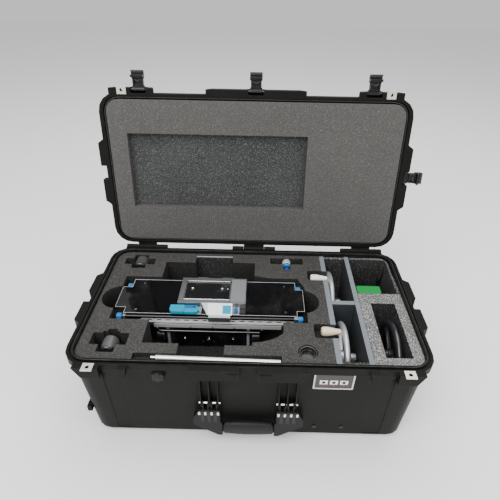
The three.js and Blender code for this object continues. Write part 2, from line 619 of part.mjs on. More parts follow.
/** A small knob with flats around it. */
function railKnob({ x, y }) {
  return join(rod("x", [x[0] + 1.5, x[1] - 1.5], [y, RAIL.z], 6.8, 8), rod("x", x, [y, RAIL.z], 5, 10));
}

for (const [name, sizes] of Object.entries(RAIL_KNOBS)) piece(`rail_knob_${name}`, railKnob(sizes), BLUE);

// ---- Carriage ----
const CARRIAGE = { x: [-168, -13], y: [-25, 63], z: [DECK.top + 0.5, 262] };
const SHELF = [CARRIAGE.z[0], CARRIAGE.z[0] + 1.4];

function carriage() {
  const [bottom, top] = CARRIAGE.z;
  const body = block(CARRIAGE.x, CARRIAGE.y, CARRIAGE.z);
  const wedge = prism(outline([[-24, bottom], [-50, bottom], [-50, 249], [-24, top]]), "x", [-125, -20]);
  const plan = outline([[-114, -24], [-98, -51], [-42, -51], [-42, -24]]);
  const apron = wedge.intersect(prism(plan, "z", [240, 270]));
  const tabs = [[-133, -107], [-73, -45]].map((x) => block(x, [62, 68], [253, 260]));
  const shelves = [[-142, -112], [-43, -26]].map((x) => block(x, [-46, -24], SHELF));
  const shoe = [
    block([-95, -46], [-58, -52.7], [235, 249]),
    block([-95, -46], [-58, -48], [bottom, 249]),
  ];
  const window = block([-155, -51], [-12, 51], [258, 270]);
  return cut(join(body, apron, tabs, shelves, shoe), window);
}

function lockLever() {
  const shape = new THREE.Shape();
  shape.moveTo(-128, -49.5);
  shape.absarc(-128, -38.5, 11, -Math.PI / 2, Math.PI / 2);
  shape.lineTo(-183, -28);
  shape.lineTo(-183, -44);
  shape.lineTo(-177, -49.5);
  return prism(shape, "z", [SHELF[1] + GAP, 257.5]);
}

piece("carriage", carriage(), SILVER);
piece("carriage_window", block([-154.6, -51.4], [-11.6, 50.6], [258 + GAP, 259.8]), GLOSS);
piece("lock_lever", lockLever(), BLUE);
piece("thumb_screw", join(
  rod("z", [SHELF[1] + GAP, 256], [-34, -38], 4.2, 12),
  rod("z", [255, 260], [-34, -38], 2.6, 12)), BLUE);

export default object;
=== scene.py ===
"""A camera slider kit in an open hard transit case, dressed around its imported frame.

The frame is in metres: +X runs to the right, +Y to the hinge and +Z up. Shapes here are worked out in
millimetres in the same axes, and turned into metres when a piece is made.
"""

import json
import logging
import math
from collections.abc import Iterable, Sequence
from dataclasses import dataclass, field
from enum import Enum
import bmesh
import bpy
from mathutils import Matrix, Vector


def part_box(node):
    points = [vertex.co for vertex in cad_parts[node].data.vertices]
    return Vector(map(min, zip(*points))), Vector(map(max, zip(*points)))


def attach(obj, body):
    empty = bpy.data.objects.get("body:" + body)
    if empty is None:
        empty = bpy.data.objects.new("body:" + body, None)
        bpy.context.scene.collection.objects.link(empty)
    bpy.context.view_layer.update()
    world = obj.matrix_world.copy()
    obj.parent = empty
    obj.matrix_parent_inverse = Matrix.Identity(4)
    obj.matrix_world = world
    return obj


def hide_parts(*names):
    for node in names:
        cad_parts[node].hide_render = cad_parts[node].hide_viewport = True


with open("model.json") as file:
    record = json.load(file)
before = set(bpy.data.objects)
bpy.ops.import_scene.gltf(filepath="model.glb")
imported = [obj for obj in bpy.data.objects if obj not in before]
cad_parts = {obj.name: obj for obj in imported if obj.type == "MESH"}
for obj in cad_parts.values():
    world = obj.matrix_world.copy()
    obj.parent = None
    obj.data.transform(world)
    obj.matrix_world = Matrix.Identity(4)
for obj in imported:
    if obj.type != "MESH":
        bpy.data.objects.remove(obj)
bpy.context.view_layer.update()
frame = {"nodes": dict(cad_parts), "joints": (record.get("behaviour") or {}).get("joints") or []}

LOG = logging.getLogger("slider_kit")
MM = 0.001

Pair = tuple[float, float]
Point = tuple[float, float, float]
Colour = tuple[float, float, float]


class Axis(Enum):
    """The axis that a form is turned about or drawn along."""

    X = "x"
    Y = "y"
    Z = "z"

    def point(self, along: float, u: float, v: float) -> Vector:
        """A point from its place along the axis and its other two coordinates in order.

        Args:
            along: the coordinate on this axis.
            u: the first of the other two coordinates.
            v: the second of the other two coordinates.

        Returns:
            The point in the frame's axes.
        """
        if self is Axis.X:
            return Vector((along, u, v))
        if self is Axis.Y:
            return Vector((u, along, v))
        return Vector((u, v, along))


class Side(Enum):
    """Left or right of the case's middle."""

    LEFT = -1
    RIGHT = 1

    @property
    def word(self) -> str:
        """The side's name in lower case."""
        return self.name.lower()


# ---- Forms ----


@dataclass(frozen=True)
class Room:
    """The box that a CAD node fills, in millimetres."""

    low: Vector
    high: Vector

    @classmethod
    def of(cls, node: str) -> "Room":
        """The box of one CAD node."""
        low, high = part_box(node)
        return cls(low / MM, high / MM)

    @property
    def centre(self) -> Vector:
        """The middle of the box."""
        return (self.low + self.high) / 2

    @property
    def size(self) -> Vector:
        """The box's three sizes."""
        return self.high - self.low


def closed_ring(corners: Sequence[Pair], radius: float, steps: int = 6) -> list[Pair]:
    """An outline whose convex and concave corners are rounded.

    Args:
        corners: the sharp corners in order.
        radius: the radius at each corner.
        steps: the number of flats in each round.

    Returns:
        The points of the rounded outline.
    """
    made: list[Pair] = []
    for k, corner in enumerate(corners):
        here = Vector(corner)
        before = Vector(corners[k - 1])
        after = Vector(corners[(k + 1) % len(corners)])
        reach = min(radius, (before - here).length / 2.1, (after - here).length / 2.1)
        start = here + (before - here).normalized() * reach
        end = here + (after - here).normalized() * reach
        for i in range(steps + 1):
            t = i / steps
            spot = start * (1 - t) ** 2 + here * 2 * t * (1 - t) + end * t**2
            made.append((spot.x, spot.y))
    return made


def rectangle(u: Pair, v: Pair, radius: float, steps: int = 6) -> list[Pair]:
    """A rectangle between two values on each axis, with round corners."""
    corners = [(u[0], v[0]), (u[1], v[0]), (u[1], v[1]), (u[0], v[1])]
    return closed_ring(corners, radius, steps)


class Form:
    """A mesh in the making: closed shells added one by one, in millimetres."""

    def __init__(self) -> None:
        """Starts with nothing."""
        self.mesh = bmesh.new()

    @classmethod
    def of_node(cls, node: str, weld: float = 0.02, flat: float = 0.7) -> "Form":
        """A CAD node's shape with its triangles joined into whole faces.

        Args:
            node: the CAD node's name.
            weld: how near two corners are before they are one, in millimetres.
            flat: the largest angle in degrees between triangles of one face.

        Returns:
            The form, ready to be rounded.
        """
        form = cls()
        copy = frame["nodes"][node].data.copy()
        form.mesh.from_mesh(copy)
        bpy.data.meshes.remove(copy)
        form.moved(Matrix.Scale(1 / MM, 4))
        bmesh.ops.remove_doubles(form.mesh, verts=form.mesh.verts, dist=weld)
        bmesh.ops.dissolve_limit(
            form.mesh, angle_limit=math.radians(flat), verts=form.mesh.verts, edges=form.mesh.edges)
        wide = [face for face in form.mesh.faces if len(face.verts) > 4]
        bmesh.ops.triangulate(form.mesh, faces=wide)
        return form

    def box(self, low: Iterable[float], high: Iterable[float]) -> "Form":
        """Adds a box between its lowest and highest corners."""
        (x0, y0, z0), (x1, y1, z1) = low, high
        return self.prism([(x0, y0), (x1, y0), (x1, y1), (x0, y1)], Axis.Z, (z0, z1))

    def prism(self, outline: Sequence[Pair], axis: Axis, ends: Pair) -> "Form":
        """Adds an outline drawn out along an axis.

        Args:
            outline: the outline in the other two coordinates.
            axis: the axis it is drawn along.
            ends: where it starts and ends on that axis.

        Returns:
            This form.
        """
        low, high = ([self.mesh.verts.new(axis.point(end, u, v)) for u, v in outline] for end in ends)
        faces = [self.mesh.faces.new(low), self.mesh.faces.new(high)]
        for k in range(len(outline)):
            nxt = (k + 1) % len(outline)
            faces.append(self.mesh.faces.new((low[k], low[nxt], high[nxt], high[k])))
        bmesh.ops.recalc_face_normals(self.mesh, faces=faces)
        return self

    def turned(self, profile: Sequence[Pair], axis: Axis, centre: Pair, sides: int = 48,
               closed: bool = False) -> "Form":
        """Adds a form turned about an axis.

        Args:
            profile: (along, radius) points; one with no radius is a point on the axis.
            axis: the axis it is turned about.
            centre: the axis's place in the other two coordinates.
            sides: how many flats make the round.
            closed: whether the profile closes on itself, as a ring's does.

        Returns:
            This form.
        """
        rings = []
        for along, radius in profile:
            if radius <= 0:
                rings.append([self.mesh.verts.new(axis.point(along, *centre))])
                continue
            ring = []
            for k in range(sides):
                angle = 2 * math.pi * k / sides
                u = centre[0] + radius * math.cos(angle)
                v = centre[1] + radius * math.sin(angle)
                ring.append(self.mesh.verts.new(axis.point(along, u, v)))
            rings.append(ring)
        pairs = list(zip(rings, rings[1:]))
        if closed:
            pairs.append((rings[-1], rings[0]))
        faces = []
        for one, two in pairs:
            for k in range(sides):
                nxt = (k + 1) % sides
                corners = [one[k % len(one)], one[nxt % len(one)], two[nxt % len(two)], two[k % len(two)]]
                whole = list(dict.fromkeys(corners))
                if len(whole) > 2:
                    faces.append(self.mesh.faces.new(whole))
        bmesh.ops.recalc_face_normals(self.mesh, faces=faces)
        return self

    def rod(self, axis: Axis, ends: Pair, centre: Pair, radius: float, sides: int = 32) -> "Form":
        """Adds a plain rod along an axis."""
        profile = [(ends[0], 0), (ends[0], radius), (ends[1], radius), (ends[1], 0)]
        return self.turned(profile, axis, centre, sides)

    def tube(self, path: Sequence[Vector], radius: float, sides: int = 20) -> "Form":
        """Adds a round bar that follows a path lying in one XZ plane."""
        rings = []
        for k, here in enumerate(path):
            along = (path[min(k + 1, len(path) - 1)] - path[max(k - 1, 0)]).normalized()
            across = along.cross(Vector((0, 1, 0))).normalized()
            ring = []
            for i in range(sides):
                angle = 2 * math.pi * i / sides
                out = across * math.cos(angle) + Vector((0, 1, 0)) * math.sin(angle)
                ring.append(self.mesh.verts.new(here + out * radius))
            rings.append(ring)
        faces = [self.mesh.faces.new(rings[0]), self.mesh.faces.new(rings[-1])]
        for one, two in zip(rings, rings[1:]):
            for i in range(sides):
                nxt = (i + 1) % sides
                faces.append(self.mesh.faces.new((one[i], one[nxt], two[nxt], two[i])))
        bmesh.ops.recalc_face_normals(self.mesh, faces=faces)
        return self

    def band(self, outline: Sequence[Pair], width: float, ends: Pair) -> "Form":
        """Adds a flat band that runs just inside a level outline.

        Args:
            outline: the outline in x and y, in order.
            width: how far the band reaches inwards.
            ends: its lowest and highest z.

        Returns:
            This form.
        """
        corners = [Vector(corner) for corner in outline]
        area = sum(a.cross(b) for a, b in zip(corners, corners[1:] + corners[:1]))
        inward = math.copysign(1.0, area)
        rings = []
        for k, here in enumerate(corners):
            before = (here - corners[k - 1]).normalized()
            after = (corners[(k + 1) % len(corners)] - here).normalized()
            one, two = Vector((-before.y, before.x)), Vector((-after.y, after.x))
            inner = here + (one + two) * inward * width / (1 + one.dot(two))
            rings.append([self.mesh.verts.new((*spot, z)) for spot, z in (
                (here, ends[0]), (here, ends[1]), (inner, ends[1]), (inner, ends[0]))])
        faces = []
        for one, two in zip(rings, rings[1:] + rings[:1]):
            for i in range(4):
                nxt = (i + 1) % 4
                faces.append(self.mesh.faces.new((one[i], one[nxt], two[nxt], two[i])))
        bmesh.ops.recalc_face_normals(self.mesh, faces=faces)
        return self

    def moved(self, matrix: Matrix) -> "Form":
        """Moves everything made so far."""
        bmesh.ops.transform(self.mesh, matrix=matrix, verts=self.mesh.verts)
        return self

    def made(self, name: str, soften: float = 0.0, steps: int = 2, sharp: float = 30.0) -> bpy.types.Object:
        """Turns the form into a finished object at the origin, in metres.

        Args:
            name: the piece's name.
            soften: the width of the rounding on hard edges, in millimetres.
            steps: how many flats make that rounding.
            sharp: edges that turn more than this many degrees are hard.

        Returns:
            The object, with its modifiers applied.
        """
        self.moved(Matrix.Scale(MM, 4))
        mesh = bpy.data.meshes.new(name)
        self.mesh.to_mesh(mesh)
        self.mesh.free()
        mesh.polygons.foreach_set("use_smooth", [True] * len(mesh.polygons))
        made = bpy.data.objects.new(name, mesh)
        bpy.context.scene.collection.objects.link(made)
        if soften > 0:
            bevel = made.modifiers.new("soften", "BEVEL")
            bevel.width = soften * MM
            bevel.segments = steps
            bevel.limit_method = "ANGLE"
            bevel.angle_limit = math.radians(sharp)
            bevel.use_clamp_overlap = False
            bevel.miter_outer = "MITER_ARC"
        normals = made.modifiers.new("shade", "WEIGHTED_NORMAL")
        normals.weight = 100
        return applied(made)


def top_outline(node: str) -> list[Pair]:
    """The outline of a CAD node's flat top.

    Args:
        node: the CAD node's name.

    Returns:
        The outline's corners in order, in millimetres.
    """
    mesh = Form.of_node(node).mesh
    top = max(vert.co.z for vert in mesh.verts)
    flat = [face for face in mesh.faces if all(vert.co.z > top - 0.05 for vert in face.verts)]
    rim = [edge for edge in mesh.edges if sum(face in flat for face in edge.link_faces) == 1]
    here = first = rim[0].verts[0]
    path: list[Pair] = []
    while rim:
        path.append((here.co.x, here.co.y))
        step = next((edge for edge in rim if here in edge.verts), None)
        if step is None:
            break
        rim.remove(step)
        here = step.other_vert(here)
        if here is first:
            break
    mesh.free()
    return path


def applied(piece: bpy.types.Object) -> bpy.types.Object:
    """Applies every modifier on a piece.

    Args:
        piece: the object with live modifiers.

    Returns:
        The same object with a plain mesh.
    """
    depsgraph = bpy.context.evaluated_depsgraph_get()
    mesh = bpy.data.meshes.new_from_object(piece.evaluated_get(depsgraph), depsgraph=depsgraph)
    piece.modifiers.clear()
    old = piece.data
    piece.data = mesh
    mesh.name = piece.name
    bpy.data.meshes.remove(old)
    return piece


# ---- Shader effects that finishes share ----


class Effect:
    """A shader node group with named inputs and outputs."""

    _made: dict[str, bpy.types.NodeTree] = {}

    def __init__(self, name: str) -> None:
        """Starts an empty group of that name."""
        self.tree = bpy.data.node_groups.new(name, "ShaderNodeTree")
        self.inputs = self.tree.nodes.new("NodeGroupInput")
        self.outputs = self.tree.nodes.new("NodeGroupOutput")
        Effect._made[name] = self.tree

    @classmethod
    def made(cls, name: str) -> "bpy.types.NodeTree | None":
        """The group of that name, if it has been built."""
        return cls._made.get(name)

    def taking(self, name: str, kind: str, default: float | Sequence[float]) -> bpy.types.NodeSocket:
        """Adds an input and returns its socket inside the group."""
        socket = self.tree.interface.new_socket(name, in_out="INPUT", socket_type=f"NodeSocket{kind}")
        socket.default_value = default
        return self.inputs.outputs[name]

    def giving(self, name: str, kind: str, source: bpy.types.NodeSocket) -> None:
        """Adds an output fed by a socket inside the group."""
        self.tree.interface.new_socket(name, in_out="OUTPUT", socket_type=f"NodeSocket{kind}")
        self.tree.links.new(source, self.outputs.inputs[name])

    def node(self, kind: str, feeds: dict | None = None, **settings: object) -> bpy.types.Node:
        """Adds a node with its settings, inputs set or linked by name or number."""
        return add_node(self.tree, kind, feeds, **settings)


def add_node(tree: bpy.types.NodeTree, kind: str, feeds: dict | None = None,
             **settings: object) -> bpy.types.Node:
    """Adds a node to a tree.

    Args:
        tree: the tree it goes in.
        kind: the node's type name.
        feeds: inputs by name or number, each a value or the socket that feeds it.
        settings: the node's own properties.

    Returns:
        The node.
    """
    made = tree.nodes.new(kind)
    for key, value in settings.items():
        setattr(made, key, value)
    for key, value in (feeds or {}).items():
        if isinstance(value, bpy.types.NodeSocket):
            tree.links.new(value, made.inputs[key])
        else:
            made.inputs[key].default_value = value
    return made


def grain_effect() -> bpy.types.NodeTree:
    """A fine moulded or cast grain that varies roughness and height."""
    name = "fine_grain"
    if Effect.made(name):
        return Effect.made(name)
    group = Effect(name)
    size = group.taking("Size", "Float", 900.0)
    stretch = group.taking("Stretch", "Vector", (1.0, 1.0, 1.0))
    rough = group.taking("Roughness", "Float", 0.5)
    spread = group.taking("Spread", "Float", 0.1)
    place = group.node("ShaderNodeTexCoord")
    stretched = group.node("ShaderNodeVectorMath", {0: place.outputs["Object"], 1: stretch},
                           operation="MULTIPLY")
    fine = group.node("ShaderNodeTexNoise", {"Vector": stretched.outputs[0], "Scale": size, "Detail": 3.0})
    broad = group.node("ShaderNodeTexNoise", {"Vector": place.outputs["Object"], "Scale": 14.0, "Detail": 4.0})
    both = group.node("ShaderNodeMath", {0: fine.outputs["Fac"], 1: broad.outputs["Fac"]}, operation="ADD")
    around = group.node("ShaderNodeMath", {0: both.outputs[0], 1: 1.0}, operation="SUBTRACT")
    varied = group.node("ShaderNodeMath", {0: around.outputs[0], 1: spread, 2: rough},
                        operation="MULTIPLY_ADD")
    group.giving("Roughness", "Float", varied.outputs[0])
    group.giving("Height", "Float", fine.outputs["Fac"])
    return group.tree


def wear_effect() -> bpy.types.NodeTree:
    """Lighter edges, broken up by noise: partly rubbed wear, partly a painted highlight along the edges."""
    name = "edge_wear"
    if Effect.made(name):
        return Effect.made(name)
    group = Effect(name)
    colour = group.taking("Colour", "Color", (0.5, 0.5, 0.5, 1.0))
    worn = group.taking("Worn", "Color", (0.8, 0.8, 0.8, 1.0))
    amount = group.taking("Amount", "Float", 0.5)
    shape = group.node("ShaderNodeNewGeometry")
    rounded = group.node("ShaderNodeBevel", {"Radius": 1.1 * MM}, samples=4)
    agree = group.node("ShaderNodeVectorMath", {0: shape.outputs["Normal"], 1: rounded.outputs[0]},
                       operation="DOT_PRODUCT")
    edge = group.node("ShaderNodeMapRange", {
        "Value": agree.outputs["Value"], "From Min": 0.995, "From Max": 0.88}, clamp=True)
    place = group.node("ShaderNodeTexCoord")
    noise = group.node("ShaderNodeTexNoise", {"Vector": place.outputs["Object"], "Scale": 60.0, "Detail": 5.0})
    patchy = group.node("ShaderNodeMapRange", {
        "Value": noise.outputs["Fac"], "From Min": 0.38, "From Max": 0.62}, clamp=True)
    mask = group.node("ShaderNodeMath", {0: edge.outputs[0], 1: patchy.outputs[0]}, operation="MULTIPLY")
    share = group.node("ShaderNodeMath", {0: mask.outputs[0], 1: amount}, operation="MULTIPLY")
    mixed = group.node("ShaderNodeMix", {0: share.outputs[0], 6: colour, 7: worn}, data_type="RGBA")
    group.giving("Colour", "Color", mixed.outputs[2])
    group.giving("Mask", "Float", share.outputs[0])
    return group.tree


def dust_effect() -> bpy.types.NodeTree:
    """Small pale specks and a faint uneven film."""
    name = "settled_dust"
    if Effect.made(name):
        return Effect.made(name)
    group = Effect(name)
    colour = group.taking("Colour", "Color", (0.5, 0.5, 0.5, 1.0))
    dust = group.taking("Dust", "Color", (0.6, 0.58, 0.54, 1.0))
    amount = group.taking("Amount", "Float", 0.2)
    size = group.taking("Size", "Float", 220.0)
    place = group.node("ShaderNodeTexCoord")
    spots = group.node("ShaderNodeTexVoronoi", {"Vector": place.outputs["Object"], "Scale": size})
    speck = group.node("ShaderNodeMapRange", {
        "Value": spots.outputs["Distance"], "From Min": 0.14, "From Max": 0.07}, clamp=True)
    where = group.node("ShaderNodeTexNoise", {"Vector": place.outputs["Object"], "Scale": 22.0, "Detail": 3.0})
    some = group.node("ShaderNodeMapRange", {
        "Value": where.outputs["Fac"], "From Min": 0.5, "From Max": 0.7}, clamp=True)
    specks = group.node("ShaderNodeMath", {0: speck.outputs[0], 1: some.outputs[0]}, operation="MULTIPLY")
    film = group.node("ShaderNodeMath", {0: some.outputs[0], 1: 0.12, 2: specks.outputs[0]},
                      operation="MULTIPLY_ADD")
    share = group.node("ShaderNodeMath", {0: film.outputs[0], 1: amount}, operation="MULTIPLY", use_clamp=True)
    mixed = group.node("ShaderNodeMix", {0: share.outputs[0], 6: colour, 7: dust}, data_type="RGBA")
    group.giving("Colour", "Color", mixed.outputs[2])
    group.giving("Mask", "Float", share.outputs[0])
    return group.tree


def cell_effect() -> bpy.types.NodeTree:
    """Cut foam: open cells that show as pits, with pale cell walls between."""
    name = "foam_cells"
    if Effect.made(name):
        return Effect.made(name)
    group = Effect(name)
    colour = group.taking("Colour", "Color", (0.1, 0.1, 0.1, 1.0))
    light = group.taking("Light", "Color", (0.3, 0.3, 0.3, 1.0))
    size = group.taking("Size", "Float", 420.0)
    contrast = group.taking("Contrast", "Float", 0.5)
    place = group.node("ShaderNodeTexCoord")
    cells = group.node("ShaderNodeTexVoronoi", {"Vector": place.outputs["Object"], "Scale": size})
    fine = group.node("ShaderNodeTexNoise", {"Vector": place.outputs["Object"], "Scale": size, "Detail": 2.0})
    coarse = group.node("ShaderNodeTexNoise", {"Vector": place.outputs["Object"], "Scale": 9.0, "Detail": 3.0})
    wall = group.node("ShaderNodeMapRange", {
        "Value": cells.outputs["Distance"], "From Min": 0.35, "From Max": 0.8}, clamp=True)
    grit = group.node("ShaderNodeMapRange", {
        "Value": fine.outputs["Fac"], "From Min": 0.42, "From Max": 0.66}, clamp=True)
    speckle = group.node("ShaderNodeMath", {0: wall.outputs[0], 1: grit.outputs[0]}, operation="MULTIPLY")
    drift = group.node("ShaderNodeMath", {0: coarse.outputs["Fac"], 1: 0.25, 2: speckle.outputs[0]},
                       operation="MULTIPLY_ADD")
    share = group.node("ShaderNodeMath", {0: drift.outputs[0], 1: contrast}, operation="MULTIPLY",
                       use_clamp=True)
    mixed = group.node("ShaderNodeMix", {0: share.outputs[0], 6: colour, 7: light}, data_type="RGBA")
    group.giving("Colour", "Color", mixed.outputs[2])
    group.giving("Height", "Float", speckle.outputs[0])
    return group.tree


def depth_effect() -> bpy.types.NodeTree:
    """Darker walls below a level, where little light gets in."""
    name = "shaded_below"
    if Effect.made(name):
        return Effect.made(name)
    group = Effect(name)
    colour = group.taking("Colour", "Color", (0.5, 0.5, 0.5, 1.0))
    level = group.taking("Level", "Float", 0.25)
    walls = group.taking("Walls", "Float", 0.5)
    place = group.node("ShaderNodeTexCoord")
    height = group.node("ShaderNodeSeparateXYZ", {0: place.outputs["Object"]})
    above = group.node("ShaderNodeMath", {0: height.outputs[2], 1: level}, operation="SUBTRACT")
    share = group.node("ShaderNodeMapRange", {
        "Value": above.outputs[0], "From Min": -0.7 * MM, "From Max": 0.0}, clamp=True)
    below = group.node("ShaderNodeVectorMath", {0: colour, "Scale": walls}, operation="SCALE")
    mixed = group.node("ShaderNodeMix", {0: share.outputs[0], 6: below.outputs[0], 7: colour},
                       data_type="RGBA")
    group.giving("Colour", "Color", mixed.outputs[2])
    return group.tree


# ---- Finishes ----

MATERIALS: dict[str, bpy.types.Material] = {}


@dataclass(frozen=True)
class Finish:
    """One surface finish, with its colour, its grain, what age has done to it, and the highlight and shade painted
    into its colour.
    """

    name: str
    colour: Colour
    roughness: float = 0.5
    spread: float = 0.12
    metallic: float = 0.0
    coat: float = 0.0
    specular: float = 0.5
    grain: float = 900.0
    stretch: Point = (1.0, 1.0, 1.0)
    depth: float = 0.02
    # The lighter edge colour and how much of it: partly rubbed wear, partly a painted edge highlight.
    worn: Colour = (0.5, 0.5, 0.5)
    wear: float = 0.0
    dust: float = 0.0
    dust_size: float = 220.0
    cells: float = 0.0
    cell_light: Colour = (0.3, 0.3, 0.3)
    cell_contrast: float = 0.5
    sheen: float = 0.0
    # Painted shade: below this level, the colour is scaled down by the walls factor.
    level: float = 0.0
    walls: float = 1.0

    def material(self) -> bpy.types.Material:
        """The finish as a material, built once.

        Returns:
            The material.
        """
        done = MATERIALS.get(self.name)
        if done:
            return done
        made = MATERIALS[self.name] = bpy.data.materials.new(self.name)
        made.use_nodes = True
        tree = made.node_tree
        shader = tree.nodes["Principled BSDF"]
        fixed = {"Metallic": self.metallic, "Coat Weight": self.coat, "Specular IOR Level": self.specular,
                 "Coat Roughness": 0.08, "Sheen Weight": self.sheen}
        for socket, value in fixed.items():
            shader.inputs[socket].default_value = value
        made.diffuse_color = (*self.colour, 1.0)
        colour: Sequence[float] | bpy.types.NodeSocket = (*self.colour, 1.0)
        height = None
        if self.cells:
            cells = self._placed(tree, cell_effect(), {
                "Colour": colour, "Light": (*self.cell_light, 1.0), "Size": self.cells,
                "Contrast": self.cell_contrast})
            colour, height = cells.outputs["Colour"], cells.outputs["Height"]
        # Lighter edges: partly rubbed wear, partly a painted edge highlight.
        if self.wear:
            worn = self._placed(tree, wear_effect(), {
                "Colour": colour, "Worn": (*self.worn, 1.0), "Amount": self.wear})
            colour = worn.outputs["Colour"]
        # Painted shade on the walls below the level.
        if self.walls < 1:
            shaded = self._placed(tree, depth_effect(), {
                "Colour": colour, "Level": self.level * MM, "Walls": self.walls})
            colour = shaded.outputs["Colour"]
        dusty = self._placed(tree, dust_effect(), {
            "Colour": colour, "Amount": self.dust, "Size": self.dust_size})
        tree.links.new(dusty.outputs["Colour"], shader.inputs["Base Color"])
        grain = self._placed(tree, grain_effect(), {
            "Size": self.grain, "Stretch": self.stretch, "Roughness": self.roughness,
            "Spread": self.spread})
        tree.links.new(grain.outputs["Roughness"], shader.inputs["Roughness"])
        bump = add_node(tree, "ShaderNodeBump", {
            "Height": height or grain.outputs["Height"], "Strength": 0.6, "Distance": self.depth * MM})
        tree.links.new(bump.outputs["Normal"], shader.inputs["Normal"])
        return made

    @staticmethod
    def _placed(tree: bpy.types.NodeTree, effect: bpy.types.NodeTree, values: dict) -> bpy.types.Node:
        """Puts a shared effect in a material with its own values."""
        return add_node(tree, "ShaderNodeGroup", values, node_tree=effect)


CASE = Finish("case_black", (0.0065, 0.0066, 0.0057), 0.5, 0.05, grain=1400.0, depth=0.05, specular=0.1,
              worn=(0.07, 0.07, 0.066), wear=0.6, dust=0.02)
# A lighter, glossier black for the bead along the rim ridge: a painted highlight.
CASE_RIDGE_HIGHLIGHT = Finish("case_lip_black", (0.012, 0.0125, 0.013), 0.3, 0.05, grain=1400.0, depth=0.03, wear=0.5,
                  worn=(0.15, 0.155, 0.16))
HANDLE_BLACK = Finish("handle_black", (0.007, 0.007, 0.0065), 0.42, 0.05, grain=1200.0, depth=0.04,
                      specular=0.16, worn=(0.09, 0.088, 0.085), wear=0.6)
LATCH_BLACK = Finish("latch_black", (0.005, 0.005, 0.0055), 0.3, 0.06, depth=0.02, specular=0.35,
                     worn=(0.1, 0.1, 0.105), wear=0.6)
# A lighter grey, used on the latch's tip as a painted highlight, with edge wear.
LATCH_GREY = Finish("latch_worn_grey", (0.02, 0.02, 0.0215), 0.3, 0.1, depth=0.02, wear=0.8,
                    worn=(0.3, 0.3, 0.3))
RUBBER = Finish("soft_rubber", (0.01, 0.01, 0.01), 0.5, 0.1, grain=1600.0, depth=0.04, specular=0.25,
                worn=(0.1, 0.1, 0.1), wear=0.4)
GASKET = Finish("gasket_rubber", (0.01, 0.01, 0.01), 0.45, 0.1, depth=0.03)
BASE_FOAM = Finish("base_foam", (0.018, 0.0176, 0.0168), 0.95, 0.05, cells=520.0,
                   cell_light=(0.135, 0.132, 0.126), cell_contrast=0.8, depth=0.5, specular=0.2,
                   level=247.2, walls=0.55)
COARSE_FOAM = Finish("coarse_foam", (0.022, 0.022, 0.0215), 0.95, 0.05, cells=380.0,
                     cell_light=(0.62, 0.62, 0.61), cell_contrast=0.85, depth=0.7, specular=0.2,
                     level=246.6, walls=0.2)
LID_FOAM = Finish("lid_foam_grey", (0.058, 0.056, 0.053), 0.95, 0.05, cells=420.0,
                  cell_light=(0.15, 0.147, 0.14), cell_contrast=0.85, depth=0.25, specular=0.2)
RECESS_FOAM = Finish("recess_foam", (0.02, 0.021, 0.021), 0.95, 0.05, cells=430.0,
                     cell_light=(0.17, 0.175, 0.17), cell_contrast=0.8, depth=0.6, specular=0.2)
DIVIDER_GREY = Finish("divider_grey", (0.12, 0.135, 0.15), 0.75, 0.1, cells=600.0,
                      cell_light=(0.32, 0.34, 0.37), cell_contrast=0.6, depth=0.15, specular=0.3,
                      level=246.4, walls=0.2)
ROD_SILVER = Finish("rod_silver", (0.86, 0.86, 0.84), 0.3, 0.06, metallic=0.7, grain=700.0,
                    stretch=(0.06, 1.0, 1.0), depth=0.008)
STEEL = Finish("turned_steel", (0.72, 0.72, 0.72), 0.24, 0.1, metallic=1.0, grain=500.0,
               stretch=(0.06, 1.0, 1.0), depth=0.01)
BRIGHT_STEEL = Finish("bright_steel", (0.92, 0.92, 0.9), 0.16, 0.06, metallic=1.0, grain=500.0,
                      stretch=(0.05, 1.0, 1.0), depth=0.006)
DARK_STEEL = Finish("dark_rail_steel", (0.035, 0.035, 0.036), 0.16, 0.08, metallic=1.0, grain=500.0,
                    stretch=(0.05, 1.0, 1.0), depth=0.01)
BAR_STEEL = Finish("bar_steel", (0.075, 0.077, 0.08), 0.26, 0.08, metallic=1.0, grain=600.0,
                   stretch=(0.05, 1.0, 1.0), depth=0.01)
HASP_STEEL = Finish("hasp_plate_steel", (0.78, 0.75, 0.67), 0.36, 0.14, metallic=0.75, grain=700.0, depth=0.02,
                    worn=(0.95, 0.93, 0.88), wear=0.5)
SILVER = Finish("satin_silver", (0.33, 0.34, 0.35), 0.3, 0.1, metallic=0.9, grain=800.0,
                stretch=(0.12, 1.0, 1.0), depth=0.01, worn=(0.95, 0.95, 0.95), wear=0.7)
PALE_SILVER = Finish("pale_silver", (0.6, 0.62, 0.64), 0.36, 0.1, metallic=0.5, grain=900.0, depth=0.01,
                     worn=(0.98, 0.98, 0.98), wear=0.5)
# Silver for the band round the deck's top: partly its silver edge, partly a painted highlight.
EDGE_SILVER = Finish("edge_silver", (0.5, 0.51, 0.52), 0.35, 0.08, metallic=0.3, grain=900.0, depth=0.005)
RACK_SILVER = Finish("rack_silver", (0.88, 0.89, 0.9), 0.4, 0.08, metallic=0.1, grain=900.0, depth=0.008)
PAD_GREY = Finish("pad_grey", (0.17, 0.178, 0.187), 0.6, 0.08, metallic=0.3, grain=1500.0, depth=0.03)
BAR_SILVER = Finish("bar_silver", (0.42, 0.41, 0.385), 0.42, 0.1, metallic=0.2, grain=900.0, depth=0.01)
DECK_BLACK = Finish("deck_gloss_black", (0.003, 0.003, 0.0035), 0.07, 0.03, coat=0.0, specular=0.5,
                    grain=300.0, depth=0.0, dust=0.12, dust_size=140.0)
PANEL_BLACK = Finish("panel_black", (0.008, 0.008, 0.009), 0.22, 0.1, coat=0.3, depth=0.005, dust=0.2)
WINDOW_BLACK = Finish("window_black", (0.008, 0.008, 0.009), 0.14, 0.06, coat=0.1, depth=0.0, dust=0.4,
                      dust_size=110.0)
